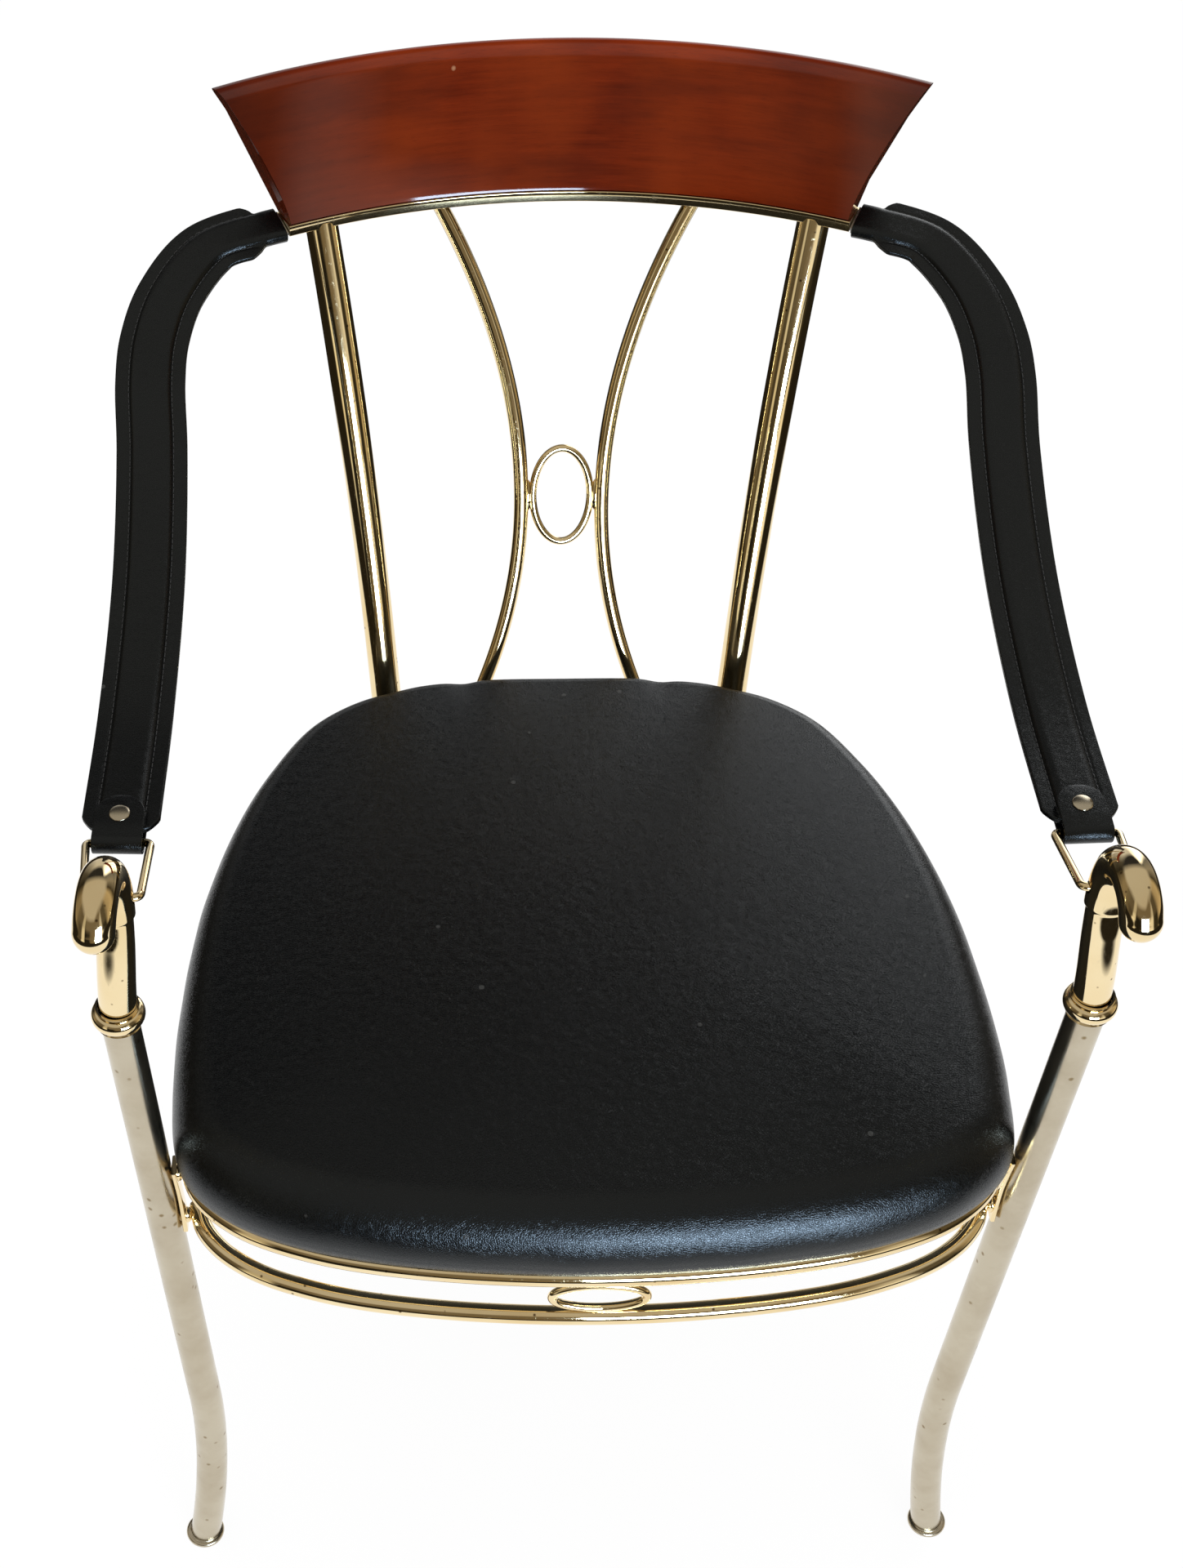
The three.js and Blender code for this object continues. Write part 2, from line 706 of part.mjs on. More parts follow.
function boreAt(spot, low, high) {
  const bore = cylinder(screwRadius + holeClearance, high - low, boreSides);
  bore.translate(spot.x, spot.y, (low + high) / 2);
  return bore;
}
const boardBoreTop = boardBottom + screwBite + screwTipRoom;
const boardBores = screwSpots.map((spot) => boreAt(spot, boardBottom - overrun, boardBoreTop));
const board = planPrism(boardInset, boardBottom, boardBottom + boardThickness);
addPiece('seat_board', cut(board, ...boardBores), plywood);

const foamBottom = boardBottom + boardThickness + touchGap;
const foamSkin = coverThickness + touchGap;
const foamTop = foamBottom + padSideHeight + padCrown;
addPiece('seat_foam', keepBetween(padSolid(foamSkin, foamSkin), foamBottom, foamTop), foam);

lugAt.forEach(({ point, inward, angle }, i) => {
  const lug = new THREE.BoxGeometry(lugLength, lugWidth, lugThickness);
  lug.rotateZ(angle);
  const middle = point.clone().addScaledVector(inward, lugStart + lugLength / 2);
  lug.translate(middle.x, middle.y, lugTop - lugThickness / 2);
  addPiece(`seat_lug_${i + 1}`, cut(lug, boreAt(screwSpots[i], lugTop - overrun, lugTop + overrun)), brass);
  const length = boardBottom + screwBite - (lugTop - lugThickness - touchGap);
  const turned = screw(screwHeadRadius, screwHeadHeight, screwRadius, length);
  const piece = addPiece(`seat_screw_${i + 1}`, turned, steel);
  piece.position.set(screwSpots[i].x, screwSpots[i].y, lugTop - lugThickness - touchGap);
});

// Collars: a bead ring over the joint between the leg and the finial
const collarBore = stemRadius + touchGap + collarHeight / 2 * Math.tan(legTilt) + collarEase;
const collarUpper = [
  [collarRadius, collarCrownShare], [collarRadius - collarBead, collarBeadShare],
  [collarBore + collarLip, 1], [collarBore, 1],
].map(([radius, share]) => [radius, share * collarHeight / 2]);
const collarProfile = [...collarUpper.map(([radius, z]) => [radius, -z]).reverse(), ...collarUpper];

// Finials: a stem that leans back to a knuckle with the ring's eye, then hooks over to the front
function finialPath(side) {
  const at = (half, y, rise) => new THREE.Vector3(side * half, y, legTopHeight + rise);
  const topHalf = legTopHalf - stemInset;
  const points = finialStemShares.map(([inwards, back, rise]) => (
    at(legTopHalf - stemInset * inwards, stemLean * back, knuckleRise * rise)));
  const steps = 7;
  for (let i = 1; i <= steps; i += 1) {
    const angle = (i / steps) * Math.PI * hookTurnShare;
    const half = topHalf + (stemInset + hookOutset) * (i / steps) ** hookOutsetPower;
    const y = stemLean - hookArch + hookArch * Math.cos(angle);
    points.push(at(half, y, hookArchRise + hookArch * Math.sin(angle)));
  }
  return new THREE.CatmullRomCurve3(points, false, 'centripetal');
}

function finialGeometry(side) {
  const curve = finialPath(side);
  const length = curve.getLength();
  const steps = finialSteps;
  const count = finialSides;
  const frames = curve.computeFrenetFrames(steps, false);
  const ringAt = (centre, normal, binormal, radius) => {
    const ring = [];
    for (let k = 0; k < count; k += 1) {
      const angle = (k / count) * Math.PI * 2;
      ring.push(centre.clone().addScaledVector(normal, radius * Math.cos(angle))
        .addScaledVector(binormal, radius * Math.sin(angle)));
    }
    return ring;
  };
  const rings = [];
  for (let i = 0; i <= steps; i += 1) {
    const share = i / steps;
    const swell = Math.exp(-(((share * length - knuckleRise) / knuckleSpan) ** 2));
    const base = stemRadius + (hookRadius - stemRadius) * share;
    const radius = base + (knuckleRadius - base) * swell;
    rings.push(ringAt(curve.getPointAt(share), frames.normals[i], frames.binormals[i], radius));
  }
  const end = curve.getPointAt(1);
  const ahead = curve.getTangentAt(1);
  for (let i = 1; i <= hookDomeSteps; i += 1) {
    const angle = hookDomeAngle * i / hookDomeSteps;
    const centre = end.clone().addScaledVector(ahead, hookRadius * Math.sin(angle));
    rings.push(ringAt(centre, frames.normals[steps], frames.binormals[steps], hookRadius * Math.cos(angle)));
  }
  return loft(rings, circleShape(hookRadius, count).getPoints(1).slice(0, count));
}

const eyePlace = (side) => new THREE.Vector3(
  side * (legTopHalf - stemInset), stemLean, legTopHeight + knuckleRise);

for (const [name, side] of sides) {
  const collar = addPiece(`${name}_collar`, lathe(collarProfile, roundSides), brass);
  collar.position.set(side * legTopHalf, 0, legTopHeight);
  const eye = cylinder(ringWire + eyeClearance, knuckleRadius * 4, boreSides);
  eye.rotateY(Math.PI / 2);
  eye.translate(...eyePlace(side).toArray());
  const above = legTopHeight + hookArchRise + overrun * 2;
  const whole = keepBetween(finialGeometry(side), legTopHeight + touchGap / 2, above);
  addPiece(`${name}_finial`, cut(whole, eye), brass);
}

// Wire rings: a four-cornered loop with round corners, its foot in the eye and its head in the tab
const armFrontHalf = legTopHalf - stemInset + armFrontOutset;
const ringHead = (side) => new THREE.Vector3(
  side * armFrontHalf, stemLean + ringReach, legTopHeight + knuckleRise - ringDrop);

function ringLoop(side) {
  const foot = eyePlace(side);
  const head = ringHead(side);
  const corner = (centre, half) => centre.clone().add(new THREE.Vector3(half, 0, 0));
  const corners = [
    corner(foot, -ringFootHalf), corner(foot, ringFootHalf),
    corner(head, ringTopHalf), corner(head, -ringTopHalf),
  ];
  const points = [];
  corners.forEach((point, i) => {
    const before = corners[(i + 3) % 4].clone().sub(point).normalize();
    const after = corners[(i + 1) % 4].clone().sub(point).normalize();
    const start = point.clone().addScaledVector(before, ringCornerRadius);
    const end = point.clone().addScaledVector(after, ringCornerRadius);
    const bend = new THREE.QuadraticBezierCurve3(start, point, end);
    points.push(start.clone().addScaledVector(before, ringCornerRadius * 0.6), ...bend.getPoints(3));
    points.push(end.clone().addScaledVector(after, ringCornerRadius * 0.6));
  });
  const curve = new THREE.CatmullRomCurve3(points, true, 'centripetal');
  return tidy(new THREE.TubeGeometry(curve, ringSteps, ringWire, wireSides, true));
}
for (const [name, side] of sides) {
  addPiece(`${name}_ring`, ringLoop(side), brass);
}

// Arms: a flat steel bar between two leathers that are stitched together along both edges
const bandReach = Math.asin(bandHalf / crestPlanRadius);
const armEnd = new THREE.Vector3(
  (crestPlanRadius + bandDepth / 2) * Math.sin(bandReach),
  bandFrontY - crestPlanRadius + (crestPlanRadius + bandDepth / 2) * Math.cos(bandReach),
  bandBottom + bandHeight / 2);

function armCurve(side) {
  const start = ringHead(side).add(new THREE.Vector3(0, armFrontSetback, armFrontRise));
  const points = armPathShares.map(([x, y, z]) => new THREE.Vector3(
    start.x * x, start.y + (armEnd.y - start.y) * y, start.z + (armEnd.z - start.z) * z));
  for (const ahead of [armNeckLength * armNeckLeadShare, touchGap * 2]) {
    points.push(new THREE.Vector3(
      side * (armEnd.x + ahead * Math.cos(bandReach)), armEnd.y - ahead * Math.sin(bandReach), armEnd.z));
  }
  return new THREE.CatmullRomCurve3(points, false, 'centripetal');
}

// Rings of a section carried along the left arm at shares of its length, its outer edge turned up
// towards the back; the right arm is its mirror
function armLoft(side, section, shares) {
  const curve = armCurve(-1);
  const rings = [];
  for (const share of shares) {
    const along = curve.getTangentAt(share);
    const bank = Math.max(0, share - armBankStartShare) / (1 - armBankStartShare) * armBankDegrees;
    const across = new THREE.Vector3(along.y, -along.x, 0).normalize();
    across.applyAxisAngle(along, THREE.MathUtils.degToRad(bank));
    const up = across.clone().cross(along);
    const centre = curve.getPointAt(share);
    rings.push(section(share * curve.getLength(), curve.getLength()).map(([s, u]) => (
      centre.clone().addScaledVector(across, s).addScaledVector(up, u))));
  }
  const flat = section(curve.getLength() / 2, curve.getLength()).map(([s, u]) => new THREE.Vector2(s, u));
  return tidy(loft(rings, flat).scale(-side, 1, 1));
}

// Half width of the arm: cut corners at the front, rounded off to a neck at the back
function armHalfAt(at, length) {
  const front = Math.min(1, at / flangeCornerLength);
  const toEnd = length - at - armNeckLength;
  const back = toEnd > 0 ? Math.min(1, toEnd / flangeCornerLength) : 0;
  const neck = armRaisedHalf + touchGap;
  return neck + (armHalfWidth - neck) * (front * back) ** flangeCornerPower;
}

function leatherSection(upward) {
  return (at, length) => {
    const half = armHalfAt(at, length);
    const seam = touchGap / 2;
    const inner = coreHalfThickness + touchGap;
    const rightHalf = [
      [coreHalfWidth + touchGap, inner], [coreHalfWidth + touchGap, seam],
      [half, seam], [half, seam + flangeThickness], [armRaisedHalf, seam + flangeThickness],
      ...armRaisedShares.map(([across, rise]) => [armRaisedHalf * across, armRaise * rise]),
    ];
    const leftHalf = rightHalf.map(([s, u]) => [-s, u]).reverse();
    return [...rightHalf, ...leftHalf].map(([s, u]) => [s, u * upward]);
  };
}

const coreSection = () => [
  [-coreHalfWidth, -coreHalfThickness], [coreHalfWidth, -coreHalfThickness],
  [coreHalfWidth, coreHalfThickness], [-coreHalfWidth, coreHalfThickness],
];

for (const [name, side] of sides) {
  const curve = armCurve(side);
  const length = curve.getLength();
  const rivetShare = rivetSetback / length;
  const spot = curve.getPointAt(rivetShare);
  const along = curve.getTangentAt(rivetShare);
  const across = new THREE.Vector3(along.y, -along.x, 0).normalize();
  const up = across.clone().cross(along);
  const stand = new THREE.Matrix4().makeBasis(across, along, up).setPosition(spot);
  const bore = cylinder(rivetShankRadius + holeClearance, overrun, boreSides);
  bore.applyMatrix4(stand);
  const covered = 1 - touchGap * 3 / length;
  const shares = Array.from(
    { length: armSteps + 1 }, (_, i) => covered * (1 - (1 - i / armSteps) ** armStepPower));
  addPiece(`${name}_arm_core`, cut(armLoft(side, coreSection, [...shares, 1]), bore), steel);
  addPiece(`${name}_arm_top`, cut(armLoft(side, leatherSection(1), shares), bore), leather);
  addPiece(`${name}_arm_underside`, cut(armLoft(side, leatherSection(-1), shares), bore), leather);

  // The tab lies on the arm, folds round the ring's head bar and comes back underneath
  const head = ringHead(side).sub(spot);
  const bar = new THREE.Vector2(head.dot(along), head.dot(up));
  const inside = ringWire + tabSlack;
  const legIn = armRaise + touchGap;
  const legOut = legIn + tabThickness;
  const outer = new THREE.Shape();
  outer.moveTo(tabTail - rivetSetback, legIn);
  outer.lineTo(tabTail - rivetSetback, legOut);
  outer.lineTo(-rivetSetback, legOut);
  outer.absarc(bar.x, bar.y, inside + tabThickness, Math.PI / 2, Math.PI * 1.5, false);
  outer.lineTo(-rivetSetback, -legOut);
  outer.lineTo(tabTail - rivetSetback, -legOut);
  outer.lineTo(tabTail - rivetSetback, -legIn);
  outer.lineTo(-rivetSetback, -legIn);
  outer.absarc(bar.x, bar.y, inside, Math.PI * 1.5, Math.PI / 2, true);
  outer.lineTo(-rivetSetback, legIn);
  const drawn = { depth: tabHalfWidth * 2, bevelEnabled: false, curveSegments: curveSteps };
  const tab = new THREE.ExtrudeGeometry(outer, drawn);
  tab.translate(0, 0, -tabHalfWidth);
  tab.applyMatrix4(new THREE.Matrix4().makeBasis(along, up, across).setPosition(spot));
  addPiece(`${name}_arm_tab`, cut(tab, bore), leather);

  const rivet = screw(rivetHeadRadius, rivetHeadHeight, rivetShankRadius, (legOut + touchGap) * 2 - touchGap);
  rivet.rotateX(Math.PI);
  rivet.translate(0, 0, legOut + touchGap);
  addPiece(`${name}_arm_rivet`, rivet.applyMatrix4(stand), satinBrass);
}

// The origin is the middle of the chair on the floor
const bounds = new THREE.Box3().setFromObject(chair);
const middle = bounds.getCenter(new THREE.Vector3());
chair.position.set(-middle.x, -middle.y, -bounds.min.z);

export default chair;
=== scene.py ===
"""Klismos armchair: polished brass tube, lacquered mahogany crest, black leather seat and strap arms.

Metres, +Z up, front of the chair towards -Y. Every surface is a grid of points worked out by a formula.
"""
import bmesh
import bpy
import numpy as np
from mathutils import Matrix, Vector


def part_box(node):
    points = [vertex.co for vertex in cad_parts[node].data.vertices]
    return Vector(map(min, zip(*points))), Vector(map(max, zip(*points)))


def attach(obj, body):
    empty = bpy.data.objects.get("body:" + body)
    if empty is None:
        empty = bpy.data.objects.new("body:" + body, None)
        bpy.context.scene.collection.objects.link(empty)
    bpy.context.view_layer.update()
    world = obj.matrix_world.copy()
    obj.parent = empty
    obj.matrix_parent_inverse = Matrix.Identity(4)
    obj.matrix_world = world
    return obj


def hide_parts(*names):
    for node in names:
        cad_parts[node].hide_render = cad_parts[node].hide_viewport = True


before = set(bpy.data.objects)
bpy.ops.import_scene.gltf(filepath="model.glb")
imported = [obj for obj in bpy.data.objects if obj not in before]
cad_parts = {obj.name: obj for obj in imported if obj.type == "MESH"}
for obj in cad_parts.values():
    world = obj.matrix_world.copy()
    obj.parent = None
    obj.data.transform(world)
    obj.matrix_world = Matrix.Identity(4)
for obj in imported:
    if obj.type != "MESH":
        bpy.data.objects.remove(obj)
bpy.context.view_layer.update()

FRAME_BODY = "chair_frame"
SIDES = (("left", -1), ("right", 1))
GAP = 0.0003

# Tubes, rods and wires: radii, and corners round each
LEG_RADIUS = 0.011
HOOP_RADIUS = 0.006
ROD_RADIUS = 0.00525
OVAL_WIRE = 0.00275
RING_WIRE = 0.0025
LEG_SIDES = 40
ROD_SIDES = 28
WIRE_SIDES = 20

# Front legs
KNEE_HEIGHT = 0.181
KNEE_HALF = 0.2568
LEG_TOP = 0.584
LEG_TOP_HALF = 0.276
FOOT_FLARE = 0.0215
FOOT_FORWARD = 0.006
FOOT_BEND_POWER = 1.8
GLIDE_RADIUS = 0.014
GLIDE_HEIGHT = 0.004
FOOT_BEAD = 0.0012

# Rear legs and back posts
POST_SEAT_HALF = 0.126
POST_TOP_HALF = 0.166
POST_BOW = 0.0034
POST_TOP = 0.7837
POST_RAKE = 0.118
REAR_FOOT_HALF = 0.150
REAR_SWEEP = 0.094
REAR_SWEEP_HEIGHT = 0.400
REAR_SWEEP_POWER = 1.9
REAR_SPLAY_POWER = 1.6
REAR_LEAD_SHARE = 0.6

# Seat hoop, front rail and their brackets
HOOP_HEIGHT = 0.434
RAIL_HEIGHT = 0.391
BRACKET_THICKNESS = 0.003
BRACKET_WIDTH = 0.015
BRACKET_WAIST = 0.009
BRACKET_WAIST_POWER = 1.6
BRACKET_CORNER = 0.0009
BRACKET_OVERLAP = 0.008
BRACKET_WELD = (0.0042, 0.0048, 0.0058)

# Seat plan in shares of half width and depth, from the front centre to the back, and its pad
SEAT_HALF = 0.259
SEAT_DEPTH = 0.499
SEAT_FRONT_LEAD = 0.088
SEAT_SHARES = (
    (0, 0), (0.42, 0.014), (0.675, 0.041), (0.857, 0.083), (0.965, 0.143), (0.998, 0.245),
    (0.998, 0.385), (0.968, 0.55), (0.9, 0.7), (0.815, 0.81), (0.7, 0.905), (0.51, 0.97),
    (0.27, 0.996), (0, 1),
)
PAD_SIDE = 0.045
PAD_ROLL_START = 0.0158
PAD_ROLL_HEIGHT = 0.0335
PAD_ROLL_FRONT = 0.034
PAD_ROLL_BACK = 0.020
PAD_ROLL_END_DEGREES = 85
PAD_SKIN = 0.003
PAD_CROWN = 0.0078
PAD_CROWN_POWER = 2.4
PAD_FOLD_START = 0.006
PAD_FOLD = 0.020
PAD_FOOT = ((0.012, 0), (0.006, 0), (0.0022, 0.0045), (0.0004, 0.010))
PAD_COLUMNS = 480
PLEAT_DEPTH = 0.0004
PLEATS = ((1, 34, 0), (0.6, 57, 1.0))
WAVE_DEPTH = 0.00018
WAVES = ((1, 19, 0.7), (1, 31, 2.0))
POST_PRESS = 0.016
ROD_PRESS = 0.010
PRESS_REACH = 0.055
PRESS_BACK = 0.0026
PRESS_DOWN = 0.0018
STAPLE_COUNT = 66
STAPLE_HALF = 0.005
STAPLE_WIRE = 0.00035
STAPLE_SETBACK = 0.004
STAPLE_DROP = 0.0004

# Splat rods and ovals
WAIST_HALF = 0.0288
WAIST_HEIGHT = 0.588
SPLAT_FOOT_HALF = 0.071
SPLAT_TOP_HALF = 0.087
BACK_OVAL_HALF_HEIGHT = 0.034
BACK_OVAL_HEIGHT = 0.593
FRONT_OVAL_HALF_WIDTH = 0.0285
BACK_OVAL_WELD = (0.0030, 0.0030, 0.0115)
BACK_OVAL_WELD_SHARE = 0.84
FRONT_OVAL_WELD = (0.0062, 0.0022, 0.0022)
FRONT_OVAL_WELD_SHARE = 0.9

# Crest and band
BAND_HEIGHT = 0.0075
BAND_DEPTH = 0.022
BAND_HALF = 0.186
BAND_CORNER = 0.0008
CREST_RADIUS = 0.415
CREST_HEIGHT = 0.087
CREST_LEAN = 0.035
CREST_LEAN_CURVE_SHARE = 0.2
CREST_FLARE = 0.041
CREST_FLARE_POWER = 1.3
CREST_TOP_DEPTH = 0.017
CREST_ROUND = 0.0055
CREST_CORNER = 0.0012
CREST_END_POWER = 40
SCREW_DOME = 0.0024
SCREW_SLOT = 0.0018
SCREW_SLOT_HALF = 0.0006
SCREW_SHANK = 0.002

# Collars, finials and rings
COLLAR_RADIUS = 0.0155
COLLAR_HEIGHT = 0.015
COLLAR_NECK = 0.0129
COLLAR_BEAD = 0.0042
COLLAR_BEAD_HALF = 0.0052
COLLAR_EDGE = 0.0004
COLLAR_ROOM = 0.0004
STEM_RADIUS = 0.0109
HOOK_RADIUS = 0.0116
KNUCKLE_RADIUS = 0.0122
KNUCKLE_SPAN = 0.016
LEDGE_RISE = 0.0725
LEDGE_SPAN = 0.0005
STEM_LEAN = 0.010
STEM_INSET = 0.004
KNUCKLE_RISE = 0.084
HOOK_ARCH = 0.020
HOOK_ARCH_RISE = 0.092
HOOK_TURN_SHARE = 0.9
HOOK_OUTSET = 0.0005
HOOK_OUTSET_POWER = 1.3
STEM_SHARES = ((0, 0, 0), (0.35, 0.12, 0.28), (0.85, 0.55, 0.65), (1, 1, 1))
EYE_ROOM = 0.0009
EYE_REACH = 0.03
RING_TOP_HALF = 0.0185
RING_FOOT_HALF = 0.0154
RING_CORNER = 0.004
RING_REACH = 0.059
RING_DROP = 0.0165

# Arms, tabs and rivets
ARM_HALF = 0.0225
ARM_RAISED_HALF = 0.013
ARM_RAISE = 0.0046
FLANGE = 0.0018
FLANGE_EDGE = 0.0010
FLANGE_EDGE_SHARE = 0.35
ARM_SHOULDER_SHARE = 0.42
VALLEY_OFFSET = 0.0008
VALLEY_WIDTH = 0.0009
VALLEY_DEPTH = 0.0005
STITCH_PITCH = 0.0042
STITCH_WIRE = 0.0003
STITCH_SHARE = 0.36
STITCH_SINK = 0.00045
STITCH_RISE = 0.0003
STITCH_FRONT = 0.012
STITCH_BACK = 0.010
ARM_SETBACK = 0.008
ARM_RISE = 0.001
ARM_OUTSET = 0.0032
FLANGE_CORNER = 0.009
FLANGE_CORNER_POWER = 0.6
ARM_NECK = 0.015
ARM_BANK = np.radians(20)
ARM_BANK_START = 0.62
ARM_SHARES = (
    (1, 0, 0), (0.989, 0.21, 0.075), (0.981, 0.43, 0.262), (0.988, 0.63, 0.5), (0.998, 0.735, 0.657),
    (0.992, 0.807, 0.748), (0.956, 0.884, 0.85), (0.868, 0.96, 0.953),
)
TAB_THICKNESS = 0.0018
TAB_HALF = 0.0145
TAB_SLACK = 0.0021
TAB_TAIL = 0.022
TAB_CORNER = 0.0007
TAB_END_SHARE = 0.12
RIVET_RADIUS = 0.006
RIVET_HEIGHT = 0.0016
RIVET_RIM = 0.0004
RIVET_SHANK = 0.002
RIVET_SETBACK = 0.008


# Grid helpers

def unit(vectors):
    """Each vector divided by its length."""
    return vectors / np.linalg.norm(vectors, axis=-1, keepdims=True)


def even_steps(points, count, closed=False):
    """The line through the points, measured and cut again into equal steps."""
    reach = np.concatenate([[0], np.cumsum(np.linalg.norm(np.diff(points, axis=0), axis=1))])
    at = np.linspace(0, reach[-1], count, endpoint=not closed)
    return np.stack([np.interp(at, reach, column) for column in points.T], 1)


def curve_through(points, count, closed=False, fine=24):
    """Centripetal Catmull-Rom curve: between two points a cubic whose end slopes come from the
    neighbours, spaced by the square roots of their distances; then cut into equal steps."""
    p = np.asarray(points, float)
    if closed:
        q = np.vstack([p[-1:], p, p[:2]])
    else:
        q = np.vstack([2 * p[:1] - p[1:2], p, 2 * p[-1:] - p[-2:-1]])
    a, b, c, d = q[:-3], q[1:-2], q[2:-1], q[3:]
    ta, tb, tc = (np.sqrt(np.linalg.norm(n - m, axis=1))[:, None] for m, n in ((a, b), (b, c), (c, d)))
    leave = ((b - a) / ta - (c - a) / (ta + tb) + (c - b) / tb) * tb
    arrive = ((c - b) / tb - (d - b) / (tb + tc) + (d - c) / tc) * tb
    t = np.linspace(0, 1, fine, endpoint=False)[:, None, None]
    line = ((2 * t**3 - 3 * t**2 + 1) * b + (t**3 - 2 * t**2 + t) * leave
            + (3 * t**2 - 2 * t**3) * c + (t**3 - t**2) * arrive)
    line = line.transpose(1, 0, 2).reshape(-1, p.shape[1])
    return even_steps(np.vstack([line, c[-1:]]), count, closed)


def length(path):
    """Length of a line of points."""
    return np.linalg.norm(np.diff(path, axis=0), axis=1).sum()


def direction(path, closed=False):
    """Unit direction of travel at each point, from its two neighbours."""
    step = np.roll(path, -1, 0) - np.roll(path, 1, 0) if closed else np.gradient(path, axis=0)
    return unit(step)


def carried(path, section, lean, closed=False):
    """A section carried along a path: path + s * across + u * up, with up square to the path and
    as near as it can be to the direction lean."""
    along = direction(path, closed)
    across = unit(np.cross(along, np.asarray(lean, float)))
    up = np.cross(across, along)
    return path[:, None] + section[..., :1] * across[:, None] + section[..., 1:] * up[:, None]


def circle(radius, sides=32):
    """(r cos a, r sin a) once round; an array of radii gives one circle for each."""
    angle = np.linspace(0, 2 * np.pi, sides, endpoint=False)
    return np.asarray(radius, float)[..., None, None] * np.stack([np.cos(angle), np.sin(angle)], 1)


def rounded_bar(half_width, half_height, corner, steps=6):
    """Outline of a bar: four quarter circles of radius corner about the four corners' centres."""
    quarter = (np.arange(4)[:, None] + np.linspace(0, 1, steps)) * np.pi / 2
    right = np.array([1, -1, -1, 1])[:, None]
    upper = np.array([1, 1, -1, -1])[:, None]
    wide = np.asarray(half_width, float)[..., None, None]
    high = np.asarray(half_height, float)[..., None, None]
    s = right * (wide - corner) + corner * np.cos(quarter)
    u = upper * (high - corner) + corner * np.sin(quarter)
    s, u = np.broadcast_arrays(s, u)
    return np.stack([s, u], -1).reshape(*s.shape[:-2], 4 * steps, 2)


def turned(profile, centre, sides=48):
    """Profile of radius and height turned about an upright line: (r cos a, r sin a, h)."""
    radius, height = np.asarray(profile, float).T
    ring = circle(radius, sides)
    rise = np.broadcast_to(height[:, None, None], (*ring.shape[:2], 1))
    return np.concatenate([ring, rise], 2) + np.asarray(centre, float)


def place_on(grid, across, along, up, spot):
    """Turns a grid made about the origin onto three directions at a spot."""
    return grid @ np.stack([across, along, up]) + spot


def put(name, data):
    """A new object in the scene with that mesh, light or camera."""
    made = bpy.data.objects.new(name, data)
    bpy.context.scene.collection.objects.link(made)
    return made


def make_piece(name, grids, finish, stands_for=(), body=FRAME_BODY, ring=False, sharp=40, along=None):
    """Puts one grid, or several alike, into a mesh: four-cornered faces that wrap round the second
    direction, and round the first as well for a ring; open ends get a flat face each. Equal points
    are joined, faces turned outwards and shaded, and the piece is tied to its body."""
    grids = grids if grids.ndim == 4 else grids[None]
    copies, rows, columns = grids.shape[:3]
    index = np.arange(copies * rows * columns).reshape(copies, rows, columns)
    first = index if ring else index[:, :-1]
    second = np.roll(index, -1, 1) if ring else index[:, 1:]
    corners = [first, np.roll(first, -1, 2), np.roll(second, -1, 2), second]
    faces = np.stack(corners, -1).reshape(-1, 4).tolist()
    if not ring:
        faces += index[:, 0, ::-1].tolist() + index[:, -1].tolist()
    mesh = bpy.data.meshes.new(name)
    mesh.from_pydata(grids.reshape(-1, 3).tolist(), [], faces)
    if along is not None:
        mesh.attributes.new("along", "FLOAT_VECTOR", "POINT").data.foreach_set("vector", along.ravel())
    material, slot = finish
    shell = bmesh.new()
    shell.from_mesh(mesh)
    bmesh.ops.remove_doubles(shell, verts=shell.verts, dist=1e-6)
    bmesh.ops.dissolve_degenerate(shell, edges=shell.edges, dist=1e-7)
    bmesh.ops.recalc_face_normals(shell, faces=shell.faces)
    shell.to_mesh(mesh)
    shell.free()
    mesh.shade_smooth()
    mesh.set_sharp_from_angle(angle=np.radians(sharp))
    mesh.materials.append(material)
    piece = put(name, mesh)
    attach(piece, body)
    if stands_for:
        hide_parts(*stands_for)
    return piece


def make_tube(name, path, radius, sides, lean, finish, stands_for=(), closed=False, body=FRAME_BODY):
    """A round bar along a path."""
    grid = carried(path, circle(radius, sides), lean, closed)
    return make_piece(name, grid, finish, stands_for, body, ring=closed)


def mirrored(grid, side):
    """The grid of the left piece, or its mirror image for the right."""
    return grid * np.array([-side, 1, 1])


# Shader helpers

def feed(tree, node, inputs):
    """Gives each named input of a node a value or a link from a socket."""
    for key, value in inputs.items():
        if isinstance(value, bpy.types.NodeSocket):
            tree.links.new(value, node.inputs[key])
        else:
            node.inputs[key].default_value = value


def add(tree, kind, inputs=None, **settings):
    """A shader node of that kind with its settings and inputs."""
    made = tree.nodes.new("ShaderNode" + kind)
    for key, value in settings.items():
        setattr(made, key, value)
    feed(tree, made, inputs or {})
    return made


def reckon(tree, operation, *values):
    """Result of a sum on one or two numbers."""
    return add(tree, "Math", dict(enumerate(values)), operation=operation).outputs[0]


def noise(tree, place, scale, detail=2.0, stretch=None, turn=(0, 0, 0), **more):
    """Cloudy values from 0 to 1 at a place that may be turned and stretched first."""
    if stretch:
        mapping = add(tree, "Mapping", {"Vector": place, "Rotation": turn, "Scale": stretch})
        place = mapping.outputs[0]
    inputs = {"Vector": place, "Scale": scale, "Detail": detail, **more}
    return add(tree, "TexNoise", inputs).outputs["Fac"]


def blend(tree, amount, first, second):
    """First colour turning into the second with the amount."""
    return add(tree, "Mix", {0: amount, 6: first, 7: second}, data_type="RGBA").outputs[2]


